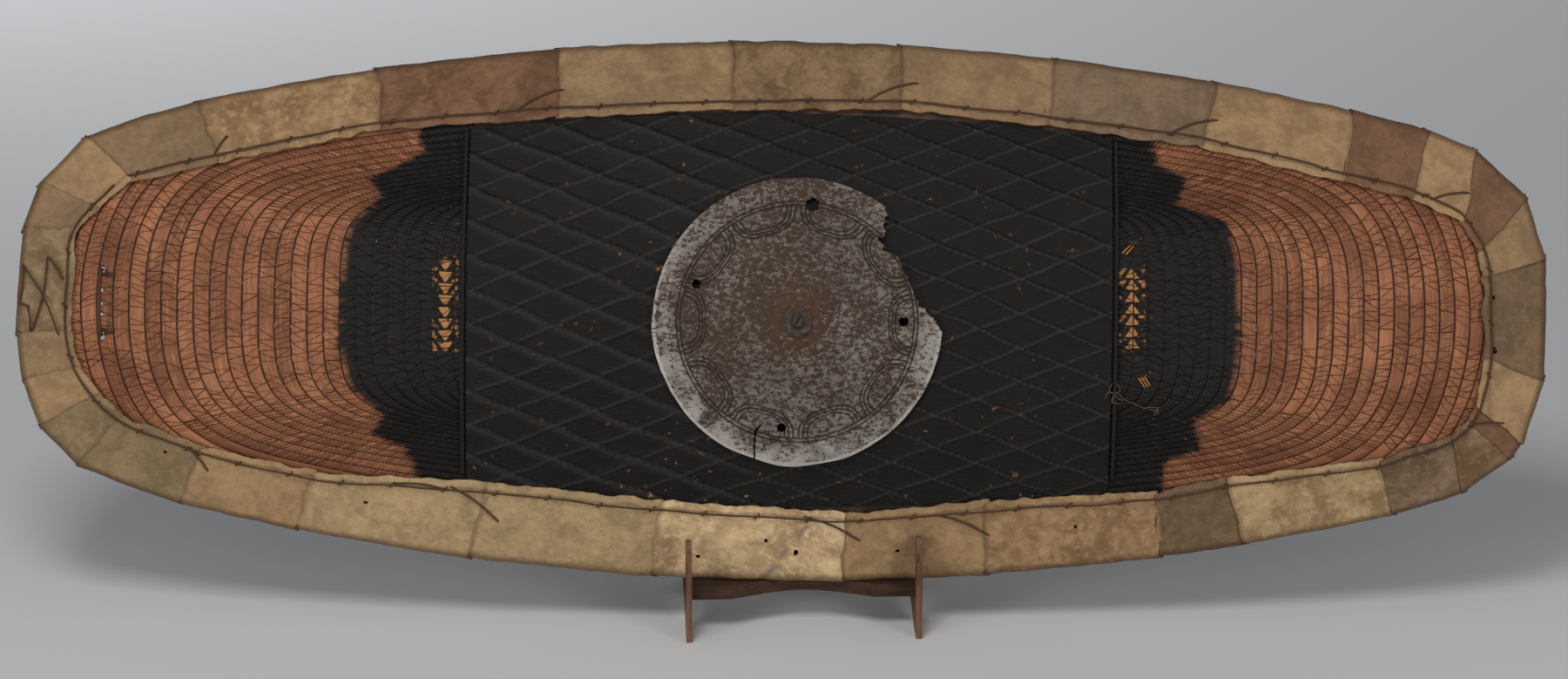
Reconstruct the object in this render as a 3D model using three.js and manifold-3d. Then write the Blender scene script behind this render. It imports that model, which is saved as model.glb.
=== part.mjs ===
// A long oval hide shield, standing on its long side in a small wooden stand.
// Millimetres, +Z up. The shield's face looks towards -Y and its long axis runs along X.
// The origin is on the floor, under the middle of the whole object.
import * as THREE from "three";
import { mergeVertices } from "three/addons/utils/BufferGeometryUtils.js";
import Module from "manifold-3d";

// Driving dimensions of the shield. Its own frame has x along the length, y across and z out of the face.
// The rim, the border's inner edge and every cane strip follow a bowed oval: two long arcs of one radius,
// height apart from the middle line at their crown, and two blunt ends at reach. A higher endPower makes the
// ends blunter, a higher cornerPower makes their corners squarer.
const sideBowRadius = 2205;
const rimOval = { reach: 649, height: 230, endPower: 23, cornerPower: 2.47 };
const innerOval = { reach: 594, height: 165, endPower: 15.5, cornerPower: 4.3 };
const crossRadius = 340; // the dome across the shield
const lengthRadius = 4225; // the dome along the shield
const bodyThickness = 8;

// The border patches meet at these joints: the place on the rim, then the x and y where the joint comes to
// the inner edge. Along the top and bottom the place on the rim is an x, round the two ends it is a y.
const topJoints = [
  [-597, -552, 100], [-503, -479, 117], [-350, -343, 146], [-197, -194, 159], [-49, -47, 166], [95, 95, 169],
  [227, 218, 157], [364, 349, 141], [480, 469, 113], [543, 526, 101], [585, 570, 82],
];
const rightJoints = [[107, 585, 57], [55, 589, 36], [-48, 592, -30], [-101, 586, -71], [-116, 581, -82]];
const bottomJoints = [
  [583, 567, -97], [524, 508, -118], [399, 379, -134], [327, 318, -147], [179, 176, -157], [57, 59, -168],
  [-105, -97, -160], [-262, -243, -146], [-409, -390, -140], [-507, -484, -120], [-596, -553, -95],
];
const leftJoints = [[-108, -573, -77], [-70, -591, -55], [-29, -599, -27], [59, -596, 58], [98, -579, 77]];
const hideThickness = 1.6;
const hideClearance = 1.8; // from the cane to the hide that wraps it
const backLegLength = 34; // how far a patch reaches in behind the rim
const patchGap = 0.5;
const panelLap = 2.4; // how much the hide rises to lap over the panel

// The cane strips are rings inside each other, counted from the border inwards. The rings get lower
// towards the middle, from the first ring's height down to the middle height.
const stripCount = 23;
const firstRingLeft = 592;
const firstRingRight = 580;
const stripWidthLeft = 13.8;
const stripWidthRight = 13;
const middleRingHeight = 75;
const firstRingExtraHeight = 138;
const ringHeightFade = 13.75; // the extra height falls to a third over this many strips
const ringEndPower = 16;
const firstRingCornerPower = 1.97;
const cornerPowerStep = 0.175; // each ring's corners are this much squarer than the last one's
const stripFace = 0.92; // the part of a strip's width that lies flat, before it dips under its neighbour
const stripStep = 1.2; // a strip's inner edge lies this much under its neighbour
const bodyInset = 9; // from the hide's fold to the edge of the cane
const bodyPartGap = 0.3;

// The centre panel with its lozenge lattice.
const panelLeft = -264;
const panelRight = 276;
const panelColumns = 16;
const panelRows = 24;
const panelUnderside = 1.2;
const ridgeLift = 4.6;
const hollowLift = 2.7;
const edgeLift = 2.6; // the panel is thin where the border laps over it

// The iron boss.
const bossCentre = [12.5, -9.6];
const bossRadius = 120.5;
const bossThickness = 1.6;
const bossRimLift = 5.6;
const bossProfile = [[0.1, 24], [0.34, 16.5], [0.6, 8], [0.82, 2.4], [1, 0.4]]; // part of the radius, height
const bossPeakRise = 0.6;
const bossHoles = [[12, 98, 5.2], [-84, 30.5, 3.6], [88.5, 1.5, 3.4], [-12, -88.5, 3.4]];
const washerRadius = 12.3;
const washerThickness = 1.6;
const studRadius = 5.6;
const studHeight = 3.6;
const slotWidth = 1.5;
const slotTurn = THREE.MathUtils.degToRad(60);

// The cords and the small cane loop.
const seamCordDiameter = 3.4;
const seamCordOffset = 3.2; // from the panel's side to the middle of the cord
const seamTopGap = 3;
const seamBottomGap = 10;
const lacingDiameter = 2.4;
const lacingPlace = 0.88; // the part of the way from the rim to the border's inner edge
const cordClearance = 1.2; // from what a cord lies on to the cord, at the dome's crown
const loopDiameter = 3.8;
const loopPlace = -573;

// The grip behind the middle.
const gripDepth = 20;
const gripHalfLength = 70;
const gripFootThickness = 8;
const gripFootInside = 46; // half of the space between the two feet
const gripRise = 24; // from a foot to the inner face of the bar, beside the foot
const gripArch = 10; // how much further the bar's arch pulls away in the middle
const gripBarThickness = 12;

// The stand. The side boards are drawn from the shield's resting line: y to the back, z up.
const lean = THREE.MathUtils.degToRad(19); // the shield leans back
const roll = THREE.MathUtils.degToRad(0.69); // and its right end lies a little low
const standTurn = THREE.MathUtils.degToRad(2.5);
const standMiddle = 17;
const boardSpacing = 194.6;
const boardThickness = 5;
const frontHookHeight = 91;
const backArmHeight = 262;
const frontFoot = [-38, -8];
const rearFoot = [72, 106];
const footArch = 16; // pulls the underside up between the feet
const hookBack = -20;
const armFront = 24;
const seatTop = 41;
const seatThickness = 11.6;
const seatFront = -14;
const seatBack = 22;
const seatStraight = 34; // the seat's front edge is straight this far in from each board
const seatCutBack = 5; // and comes back to here in the middle
const restGap = 0.3;

const wasm = await Module();
wasm.setup();

const colours = {
  cane: 0x9a6246,
  hide: 0xa58c63,
  black: 0x1c1c1d,
  iron: 0x77706a,
  cord: 0x3a2418,
  wood: 0x4a2a1c,
};

function finish(colour, metalness = 0, roughness = 0.8) {
  return new THREE.MeshStandardMaterial({ color: colour, metalness, roughness });
}

// Solids

// One closed surface from a front pole, through loops of equally many points, to a back pole.
function loft(frontPole, loops, backPole) {
  const count = loops[0].length;
  const points = [frontPole, ...loops.flat(), backPole];
  const at = (row, column) => 1 + row * count + (column % count);
  const last = points.length - 1;
  const faces = [];
  for (let column = 0; column < count; column++) {
    faces.push(0, at(0, column), at(0, column + 1));
    for (let row = 0; row < loops.length - 1; row++) {
      const a = at(row, column);
      const b = at(row + 1, column);
      const c = at(row + 1, column + 1);
      const d = at(row, column + 1);
      faces.push(a, b, c, a, c, d);
    }
    faces.push(last, at(loops.length - 1, column + 1), at(loops.length - 1, column));
  }
  return fromFaces(points, faces);
}

// One closed sheet between two grids of the same size: grid[i][j], with i to the right and j upwards
// when the outer grid is seen from outside. The ridge function picks the diagonal of each cell.
function sheet(outer, inner, ridge = () => true) {
  const columns = outer.length;
  const rows = outer[0].length;
  const points = [...outer.flat(), ...inner.flat()];
  const out = (i, j) => i * rows + j;
  const inn = (i, j) => columns * rows + i * rows + j;
  const faces = [];
  const quad = (a, b, c, d, alongAC = true) => {
    if (alongAC) faces.push(a, b, c, a, c, d);
    else faces.push(a, b, d, b, c, d);
  };
  for (let i = 0; i < columns - 1; i++) {
    for (let j = 0; j < rows - 1; j++) {
      const alongAC = ridge(i, j);
      quad(out(i, j), out(i + 1, j), out(i + 1, j + 1), out(i, j + 1), alongAC);
      quad(inn(i, j), inn(i, j + 1), inn(i + 1, j + 1), inn(i + 1, j));
    }
  }
  for (let i = 0; i < columns - 1; i++) {
    quad(out(i + 1, 0), out(i, 0), inn(i, 0), inn(i + 1, 0));
    quad(out(i, rows - 1), out(i + 1, rows - 1), inn(i + 1, rows - 1), inn(i, rows - 1));
  }
  for (let j = 0; j < rows - 1; j++) {
    quad(out(0, j), out(0, j + 1), inn(0, j + 1), inn(0, j));
    quad(out(columns - 1, j + 1), out(columns - 1, j), inn(columns - 1, j), inn(columns - 1, j + 1));
  }
  return fromFaces(points, faces);
}

function fromFaces(points, faces) {
  const geometry = new THREE.BufferGeometry().setFromPoints(points);
  geometry.setIndex(faces);
  return geometry;
}

// A cord of four, six or eight sides along a smooth curve through the points.
function cordAlong(points, diameter, steps, sides = 6) {
  const section = new THREE.Shape();
  section.absarc(0, 0, diameter / 2, 0, 2 * Math.PI);
  const path = new THREE.CatmullRomCurve3(points);
  const curveSegments = sides / 2; // an arc gets two points for each segment
  return new THREE.ExtrudeGeometry(section, { steps, curveSegments, extrudePath: path, bevelEnabled: false });
}

function toSolid(geometry) {
  const bare = geometry.clone();
  bare.deleteAttribute("normal");
  bare.deleteAttribute("uv");
  const merged = mergeVertices(bare, 1e-4);
  const mesh = new wasm.Mesh({
    numProp: 3,
    vertProperties: new Float32Array(merged.attributes.position.array),
    triVerts: new Uint32Array(merged.index.array),
  });
  return new wasm.Manifold(mesh);
}

function toGeometry(solid) {
  const mesh = solid.getMesh();
  const geometry = new THREE.BufferGeometry();
  geometry.setAttribute("position", new THREE.BufferAttribute(new Float32Array(mesh.vertProperties), 3));
  geometry.setIndex(new THREE.BufferAttribute(new Uint32Array(mesh.triVerts), 1));
  return geometry;
}

function mesh(name, geometry, material) {
  const made = new THREE.Mesh(geometry, material);
  made.name = name;
  return made;
}

// The dome

function domeHeight(x, y) {
  return -(x * x) / (2 * lengthRadius) - (y * y) / (2 * crossRadius);
}

// The point over (x, y) that stands off the dome by lift, square to it.
function onDome(x, y, lift) {
  const outwards = new THREE.Vector3(x / lengthRadius, y / crossRadius, 1).normalize();
  return new THREE.Vector3(x, y, domeHeight(x, y)).addScaledVector(outwards, lift);
}

// How high a bowed oval is at x.
function ovalHeight(oval, x) {
  const sideHeight = oval.height - (x * x) / (2 * sideBowRadius);
  const endRound = Math.max(0, 1 - Math.abs(x / oval.reach) ** oval.endPower) ** (1 / oval.cornerPower);
  return sideHeight * endRound;
}

// How far out a bowed oval reaches at y, found by halving.
function ovalReach(oval, y) {
  let near = 0;
  let far = oval.reach;
  for (let round = 0; round < 40; round++) {
    const x = (near + far) / 2;
    if (ovalHeight(oval, x) > Math.abs(y)) near = x;
    else far = x;
  }
  return near;
}

// The woven body

// The bowed oval of strip edge number k on one end of the shield. The inner rings have squarer corners.
function ringOval(k, firstRing, stripWidth) {
  return {
    reach: firstRing - stripWidth * k,
    height: middleRingHeight + firstRingExtraHeight * Math.exp(-k / ringHeightFade),
    endPower: ringEndPower,
    cornerPower: firstRingCornerPower + cornerPowerStep * k,
  };
}

// One quarter of an oval, from the middle of an end to the middle of a long side.
function quarter(oval) {
  const endParts = [0, 0.3, 0.56, 0.76, 0.9];
  const sideParts = [0.84, 0.66, 0.44, 0.22, 0];
  const reachAt = (part) => oval.reach * (1 - part ** oval.cornerPower) ** (1 / oval.endPower);
  const endPlaces = endParts.map(reachAt);
  const sidePlaces = sideParts.map((part) => oval.reach * part);
  return [...endPlaces, ...sidePlaces].map((x) => [x, ovalHeight(oval, x)]);
}

// A whole loop, anticlockwise from the right end, from a right and a left quarter.
function closeLoop(right, left) {
  const mirrored = (quarter, signX, signY) => quarter.map(([x, y]) => [signX * x, signY * y]);
  const top = [...mirrored(right, 1, 1), ...mirrored(left, -1, 1).reverse().slice(1)];
  const bottom = [...mirrored(left, -1, -1).slice(1), ...mirrored(right, 1, -1).reverse().slice(1, -1)];
  return [...top, ...bottom];
}

function ringLoop(k, lift, scale = 1) {
  const right = quarter(ringOval(k, firstRingRight, stripWidthRight));
  const left = quarter(ringOval(k, firstRingLeft, stripWidthLeft));
  return closeLoop(right, left).map(([x, y]) => onDome(x * scale, y * scale, lift));
}

function rimLoop(lift) {
  const caneEdge = { ...rimOval, reach: rimOval.reach - bodyInset, height: rimOval.height - bodyInset };
  return closeLoop(quarter(caneEdge), quarter(caneEdge)).map(([x, y]) => onDome(x, y, lift));
}

function wovenBody() {
  const front = [ringLoop(stripCount, 0, 1 / 3), ringLoop(stripCount, 0, 2 / 3)];
  const outerEdge = (1 - stripFace) / 4;
  for (let k = stripCount - 1; k >= 0; k--) {
    front.push(ringLoop(k + outerEdge + stripFace, -stripStep));
    front.push(ringLoop(k + outerEdge, 0));
  }
  const backRings = [0, 5, 10, 15, 20].map((k) => ringLoop(k, -bodyThickness));
  const back = [rimLoop(-bodyThickness), ...backRings, ringLoop(stripCount, -bodyThickness, 0.5)];
  const loops = [...front, rimLoop(0), ...back];
  return loft(onDome(0, 0, 0), loops, onDome(0, 0, -bodyThickness));
}

// The woven body is parted at both sides of the panel and along its middle line, so that each part is
// simple enough to leave the hollow behind the dome open.
function bodyParts() {
  const body = toSolid(wovenBody());
  const columns = {
    left: [-rimOval.reach, panelLeft],
    middle: [panelLeft, panelRight],
    right: [panelRight, rimOval.reach],
  };
  const rows = { lower: [-rimOval.height, 0], upper: [0, rimOval.height] };
  const parts = [];
  for (const [column, [left, right]] of Object.entries(columns)) {
    for (const [row, [bottom, top]] of Object.entries(rows)) {
      const size = [right - left - bodyPartGap, top - bottom - bodyPartGap, 2 * rimOval.height];
      const space = new THREE.BoxGeometry(...size).translate((left + right) / 2, (bottom + top) / 2, 0);
      const part = toGeometry(body.intersect(toSolid(space)));
      parts.push(mesh(`woven_cane_${column}_${row}`, part, finish(colours.cane)));
    }
  }
  return parts;
}

// The hide border

// A joint between two patches, from its place on the rim to the inner edge, seen square to the shield.
function sideJoint([rimX, innerX, innerY]) {
  const rimY = Math.sign(innerY) * ovalHeight(rimOval, rimX);
  return { rim: new THREE.Vector2(rimX, rimY), inner: new THREE.Vector2(innerX, innerY) };
}

function endJoint([rimY, innerX, innerY]) {
  const rimX = Math.sign(innerX) * ovalReach(rimOval, rimY);
  return { rim: new THREE.Vector2(rimX, rimY), inner: new THREE.Vector2(innerX, innerY) };
}

const joints = [
  ...topJoints.map(sideJoint),
  ...rightJoints.map(endJoint),
  ...bottomJoints.map(sideJoint),
  ...leftJoints.map(endJoint),
];

// The folded section of a patch, from its inner edge round the rim to the end of its back leg: the part of
// the way in from the rim, a further inset, and the lift off the dome. The inner edge laps over the panel.
function foldedSection(thin) {
  const front = hideClearance + hideThickness - thin;
  const back = -bodyThickness - hideClearance - hideThickness + thin;
  return [
    { part: 1, inset: 0, lift: front + panelLap },
    { part: 0.5, inset: 0, lift: front },
    { part: 0, inset: 2 + thin, lift: front },
    { part: 0, inset: 0.5 + thin, lift: -bodyThickness / 2 },
    { part: 0, inset: 2 + thin, lift: back },
    { part: 0, inset: backLegLength, lift: back },
  ];
}

function patchGrid(start, end, thin) {
  const length = start.rim.distanceTo(end.rim);
  const margin = patchGap / 2 / length;
  return foldedSection(thin).map(({ part, inset, lift }) =>
    [1 - margin, 0.5, margin].map((along) => {
      const rim = start.rim.clone().lerp(end.rim, along);
      const inner = start.inner.clone().lerp(end.inner, along);
      const inwards = part + inset / rim.distanceTo(inner);
      const place = rim.lerp(inner, inwards);
      return onDome(place.x, place.y, lift);
    }),
  );
}

function patch(start, end) {
  return sheet(patchGrid(start, end, 0), patchGrid(start, end, hideThickness));
}

function borderPatches() {
  const hide = finish(colours.hide);
  const sides = [["top", 10], ["right", 6], ["bottom", 10], ["left", 6]];
  const names = sides.flatMap(([side, count]) =>
    Array.from({ length: count }, (_, i) => `${side}_hide_patch_${String(i + 1).padStart(2, "0")}`),
  );
  return names.map((name, i) => mesh(name, patch(joints[i], joints[(i + 1) % joints.length]), hide));
}

// The centre panel

// Ridges cross where column and row are both even or both odd; between them lie the hollows.
function isCrossing(i, j) {
  return (i + j) % 2 === 0;
}

function latticeLift(i, j) {
  if (j === 0 || j === panelRows) return edgeLift;
  return isCrossing(i, j) ? ridgeLift : hollowLift;
}

function panelPoint(i, j, lift) {
  const x = THREE.MathUtils.lerp(panelLeft, panelRight, i / panelColumns);
  const y = THREE.MathUtils.lerp(-1, 1, j / panelRows) * ovalHeight(innerOval, x);
  return onDome(x, y, lift);
}

function centrePanel() {
  const top = [];
  const underside = [];
  for (let i = 0; i <= panelColumns; i++) {
    const rows = Array.from({ length: panelRows + 1 }, (_, j) => j);
    top.push(rows.map((j) => panelPoint(i, j, latticeLift(i, j))));
    underside.push(rows.map((j) => panelPoint(i, j, panelUnderside)));
  }
  return sheet(top, underside, isCrossing);
}

function seamCord(x) {
  const top = ovalHeight(innerOval, x) - seamTopGap;
  const bottom = -ovalHeight(innerOval, x) + seamBottomGap;
  const lift = seamCordDiameter / 2 + cordClearance;
  const places = [0, 0.25, 0.5, 0.75, 1].map((part) => THREE.MathUtils.lerp(bottom, top, part));
  return cordAlong(places.map((y) => onDome(x, y, lift)), seamCordDiameter, 8);
}

// The cords on the border

// The lacing follows the inner edge of the border, a little way out on the hide. It stops just short of
// where it starts.
function borderLacing() {
  const lift = hideClearance + hideThickness + panelLap + lacingDiameter / 2 + 0.2;
  const crossings = joints.map(({ rim, inner }) => rim.clone().lerp(inner, lacingPlace));
  const places = crossings.flatMap((start, i) => {
    const end = crossings[(i + 1) % crossings.length];
    return [start, start.clone().lerp(end, 0.5)];
  });
  places.push(places[0].clone().lerp(places.at(-1), 0.12));
  return cordAlong(places.map(({ x, y }) => onDome(x, y, lift)), lacingDiameter, 72, 4);
}

// Two crossed cords on the patch in the middle of the left end.
function endLacing() {
  const lift = hideClearance + hideThickness + lacingDiameter / 2 + cordClearance;
  const runs = [
    [[-637, 38], [-608, -21]],
    [[-617, 44], [-631, -17]],
  ];
  const cords = runs.map(([from, to]) => {
    const middle = [(from[0] + to[0]) / 2, (from[1] + to[1]) / 2];
    return toSolid(cordAlong([from, middle, to].map(([x, y]) => onDome(x, y, lift)), lacingDiameter, 3, 4));
  });
  return toGeometry(cords[0].add(cords[1]));
}

// A small loop of bent cane that stands off the strips, with its feet up and down the shield.
function endLoop() {
  const places = [[28, 0], [26, 5], [14, 9.5], [0, 10.5], [-14, 9.5], [-26, 5], [-28, 0]];
  const foot = loopDiameter / 2 + cordClearance / 2;
  return cordAlong(places.map(([y, rise]) => onDome(loopPlace, y, foot + rise)), loopDiameter, 12);
}

// The iron boss

function bossPoint(radius, angle, height) {
  const x = bossCentre[0] + radius * Math.cos(angle);
  const y = bossCentre[1] + radius * Math.sin(angle);
  return new THREE.Vector3(x, y, domeHeight(x, y) + bossRimLift + height);
}

// A hammered disc that follows the dome and rises to its middle.
function bossDisc() {
  const count = 32;
  const circle = (part, height) =>
    Array.from({ length: count }, (_, i) => bossPoint(part * bossRadius, (i * 2 * Math.PI) / count, height));
  const front = bossProfile.map(([part, height]) => circle(part, height + bossThickness));
  const back = bossProfile.map(([part, height]) => circle(part, height)).reverse();
  const peak = bossProfile[0][1] + bossPeakRise;
  return loft(bossPoint(0, 0, peak + bossThickness), [...front, ...back], bossPoint(0, 0, peak));
}

// The torn bite in the rim, clockwise from its upper end, from the middle of the boss.
function bossBite() {
  const tear = [
    [72, 96], [71, 81], [69, 72], [60, 70], [70, 65], [69, 60], [79, 58], [84, 54],
    [90, 38], [97, 25], [101, 12], [104, 13], [114, 2], [122, -9],
  ];
  const outside = [[150, -9], [150, 110], [72, 110]];
  const outline = new THREE.Shape([...tear, ...outside].map(([x, y]) => new THREE.Vector2(x, y)).reverse());
  return punch(new THREE.ExtrudeGeometry(outline, { depth: 120, bevelEnabled: false }));
}

function bossHole([x, y, radius]) {
  const hole = new THREE.CylinderGeometry(radius, radius, 120, 9);
  hole.rotateX(Math.PI / 2).translate(x, y, 60);
  return punch(hole);
}

// A cutting tool in the boss's own frame, put through the boss.
function punch(geometry) {
  return toSolid(geometry.translate(bossCentre[0], bossCentre[1], -60));
}

function boss() {
  let disc = toSolid(bossDisc()).subtract(bossBite());
  for (const hole of bossHoles) disc = disc.subtract(bossHole(hole));
  return toGeometry(disc);
}

// A flat button with a sloping shoulder, its underside at height 0.
function button(radius, thickness, topRadius, sides) {
  const profile = [[0, 0], [radius, 0], [radius, thickness * 0.6], [topRadius, thickness], [0, thickness]];
  const points = profile.map(([r, z]) => new THREE.Vector2(r, z));
  return new THREE.LatheGeometry(points, sides).rotateX(Math.PI / 2);
}

function bossWasher(base) {
  const washer = button(washerRadius, washerThickness, washerRadius * 0.9, 18);
  return washer.translate(bossCentre[0], bossCentre[1], base);
}

function bossStud(base) {
  const stud = button(studRadius, studHeight, studRadius * 0.7, 14);
  const slot = new THREE.BoxGeometry(4 * studRadius, slotWidth, studHeight).translate(0, 0, studHeight);
  slot.rotateZ(slotTurn);
  const split = toGeometry(toSolid(stud).subtract(toSolid(slot)));
  return split.translate(bossCentre[0], bossCentre[1], base);
}

// The grip behind the middle of the shield

// A plain arched bar along the shield with a foot at each end.
function backGrip() {
  const base = -bodyThickness - cordClearance;
  const footBack = base - gripFootThickness;
  const inside = base - gripRise;
  const outside = inside - gripBarThickness;
  const shoulder = gripFootInside + 2;
  const barEnd = gripFootInside - 12;
  const outline = new THREE.Shape();
  outline.moveTo(-gripHalfLength, base);
  outline.lineTo(-gripHalfLength, footBack);
  outline.quadraticCurveTo(-shoulder - 10, footBack - 4, -shoulder, outside);
  outline.quadraticCurveTo(0, outside - gripArch, shoulder, outside);
  outline.quadraticCurveTo(shoulder + 10, footBack - 4, gripHalfLength, footBack);
  outline.lineTo(gripHalfLength, base);
  outline.lineTo(gripFootInside, base);
  outline.quadraticCurveTo(gripFootInside - 4, inside + 2, barEnd, inside);
  outline.quadraticCurveTo(0, inside - gripArch, -barEnd, inside);
  outline.quadraticCurveTo(4 - gripFootInside, inside + 2, -gripFootInside, base);
  const options = { depth: gripDepth, curveSegments: 4, bevelEnabled: false };
  const grip = new THREE.ExtrudeGeometry(outline, options).translate(0, 0, -gripDepth / 2);
  const height = domeHeight(gripHalfLength + bossCentre[0], gripDepth / 2);
  return grip.rotateX(Math.PI / 2).translate(bossCentre[0], 0, height);
}

// The shield, leaning back in its stand

const shield = new THREE.Group();
const bossPeak = bossProfile[0][1] + bossPeakRise + bossThickness;
const washerBase = domeHeight(...bossCentre) + bossRimLift + bossPeak + restGap;
shield.add(
  ...bodyParts(),
  ...borderPatches(),
  mesh("centre_panel", centrePanel(), finish(colours.black)),
  mesh("left_seam_cord", seamCord(panelLeft - seamCordOffset), finish(colours.black)),
  mesh("right_seam_cord", seamCord(panelRight + seamCordOffset), finish(colours.black)),
  mesh("border_lacing", borderLacing(), finish(colours.cord)),
  mesh("left_end_lacing", endLacing(), finish(colours.cord)),
  mesh("left_end_loop", endLoop(), finish(colours.cord)),
  mesh("boss", boss(), finish(colours.iron, 0.8, 0.5)),
  mesh("boss_washer", bossWasher(washerBase), finish(colours.iron, 0.8, 0.5)),
  mesh("boss_stud", bossStud(washerBase + washerThickness + restGap), finish(colours.iron, 0.8, 0.5)),
  mesh("back_grip", backGrip(), finish(colours.wood)),
);
shield.rotation.set(Math.PI / 2 - lean, 0, -roll);
const lowest = new THREE.Box3().setFromObject(shield, true).min.z;
shield.position.z = seatTop + restGap - lowest;

// The stand

// The outline of a side board from its front foot: x goes to the back, y goes up.
function boardOutline() {
  const slotBottom = seatTop - seatThickness - 1;
  const outline = new THREE.Shape();
  outline.moveTo(frontFoot[0], 0);
  outline.lineTo(frontFoot[0] - 0.5, 40);
  outline.quadraticCurveTo(frontFoot[0], 70, -33, frontHookHeight - 7);
  outline.quadraticCurveTo(-29, frontHookHeight, -23, frontHookHeight - 3);
  outline.quadraticCurveTo(hookBack, frontHookHeight - 7, hookBack, 66);
  outline.lineTo(hookBack + 2, slotBottom);
  outline.lineTo(armFront, slotBottom);
  outline.lineTo(armFront, 180);
  outline.quadraticCurveTo(armFront - 1, backArmHeight - 26, armFront - 7, backArmHeight - 12);
  outline.quadraticCurveTo(armFront - 7, backArmHeight, armFront + 3, backArmHeight);
  outline.quadraticCurveTo(40, backArmHeight - 4, 46, 200);
  outline.quadraticCurveTo(56, 90, rearFoot[1] - 10, 26);
  outline.quadraticCurveTo(rearFoot[1], 10, rearFoot[1], 0);
  outline.lineTo(rearFoot[0], 0);
  outline.quadraticCurveTo((frontFoot[1] + rearFoot[0]) / 2, footArch, frontFoot[1], 0);
  return outline;
}

function sideBoard(middle) {
  const board = new THREE.ExtrudeGeometry(boardOutline(), {
    depth: boardThickness,
    curveSegments: 4,
    bevelEnabled: false,
  });
  // The outline's x and y become the stand's y and z, and the thickness runs along x.
  board.applyMatrix4(new THREE.Matrix4().makeBasis(
    new THREE.Vector3(0, 1, 0), new THREE.Vector3(0, 0, 1), new THREE.Vector3(1, 0, 0)));
  return board.translate(middle - boardThickness / 2, 0, 0);
}

// The seat board, with its front edge cut back in the middle.
function seatBoard() {
  const half = (boardSpacing - boardThickness) / 2 - restGap;
  const cutEnd = half - seatStraight;
  const outline = new THREE.Shape();
  outline.moveTo(-half, seatFront);
  outline.lineTo(-cutEnd, seatFront);
  outline.quadraticCurveTo(-20, seatCutBack, 0, seatCutBack);
  outline.quadraticCurveTo(20, seatCutBack, cutEnd, seatFront);
  outline.lineTo(half, seatFront);
  outline.lineTo(half, seatBack);
  outline.lineTo(-half, seatBack);
  const options = { depth: seatThickness, curveSegments: 8, bevelEnabled: false };
  return new THREE.ExtrudeGeometry(outline, options).translate(0, 0, seatTop - seatThickness);
}

const stand = new THREE.Group();
const stain = finish(colours.wood);
stand.add(
  mesh("left_side_board", sideBoard(-boardSpacing / 2), stain),
  mesh("right_side_board", sideBoard(boardSpacing / 2), stain),
  mesh("seat_board", seatBoard(), stain),
);
stand.rotation.z = standTurn;
stand.position.set(standMiddle, 0, 0);

// The whole object, with its middle over the origin

const whole = new THREE.Group();
whole.add(shield, stand);
const middle = new THREE.Box3().setFromObject(whole, true).getCenter(new THREE.Vector3());
whole.position.set(-middle.x, -middle.y, 0);

export default whole;
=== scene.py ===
import math
import bmesh
import bpy
import numpy as np
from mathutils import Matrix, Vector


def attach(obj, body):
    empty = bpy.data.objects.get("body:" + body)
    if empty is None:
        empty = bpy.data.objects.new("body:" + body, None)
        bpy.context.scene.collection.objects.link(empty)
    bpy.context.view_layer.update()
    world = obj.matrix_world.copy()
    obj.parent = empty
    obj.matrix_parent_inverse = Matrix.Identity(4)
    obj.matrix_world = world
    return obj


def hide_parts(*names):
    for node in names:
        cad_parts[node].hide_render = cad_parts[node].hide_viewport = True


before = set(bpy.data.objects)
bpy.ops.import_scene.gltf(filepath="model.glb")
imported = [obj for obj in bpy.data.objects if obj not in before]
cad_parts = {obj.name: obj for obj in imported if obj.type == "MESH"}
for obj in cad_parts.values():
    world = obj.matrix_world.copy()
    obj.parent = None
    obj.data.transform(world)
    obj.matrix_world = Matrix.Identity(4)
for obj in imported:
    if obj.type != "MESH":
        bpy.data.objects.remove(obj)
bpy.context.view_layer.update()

# The camera looks along the line square to the leaning face, from four metres away.
# The lens and the small shift of the aim give the photo's framing.
LEAN = math.radians(19)
ROLL = math.radians(0.69)
CROWN = np.array([1.111, -55.258, 282.53])  # the middle of the dome, in millimetres
LENS, CAMERA_DISTANCE, AIM = 108.1, 3.93, (1.7, -24.4, 0)
AXES = np.array([
    [math.cos(ROLL), -math.sin(ROLL) * math.sin(LEAN), -math.sin(ROLL) * math.cos(LEAN)],
    [math.sin(ROLL), math.cos(ROLL) * math.sin(LEAN), math.cos(ROLL) * math.cos(LEAN)],
    [0, -math.cos(LEAN), math.sin(LEAN)],
])


def to_room(points):
    """From millimetres in the shield's own frame (x along, y across, z out of the face) to metres."""
    return (np.asarray(points, float) @ AXES + CROWN) / 1000


camera = bpy.data.objects.new("camera", bpy.data.cameras.new("camera"))
bpy.context.scene.collection.objects.link(camera)
camera.data.sensor_width = 36
camera.data.lens = LENS
camera.data.clip_end = 50
camera.location = to_room(AIM) + AXES[2] * CAMERA_DISTANCE
camera.rotation_euler = (math.pi / 2 - LEAN, 0, 0)
bpy.context.scene.camera = camera
bpy.context.scene.view_settings.view_transform = "Standard"

# The pale floor, which fills the whole view, and soft light from square lamps: one above and in front,
# a low one to each side, one that lights the floor far behind, and a weak fill from the room.
FLOOR_HALF = 9
floor_mesh = bpy.data.meshes.new("floor")
floor_corners = [(x * FLOOR_HALF, y * FLOOR_HALF, 0) for x, y in ((-1, -1), (1, -1), (1, 1), (-1, 1))]
floor_mesh.from_pydata(floor_corners, [], [(0, 1, 2, 3)])
floor = bpy.data.objects.new("floor", floor_mesh)
bpy.context.scene.collection.objects.link(floor)


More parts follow.
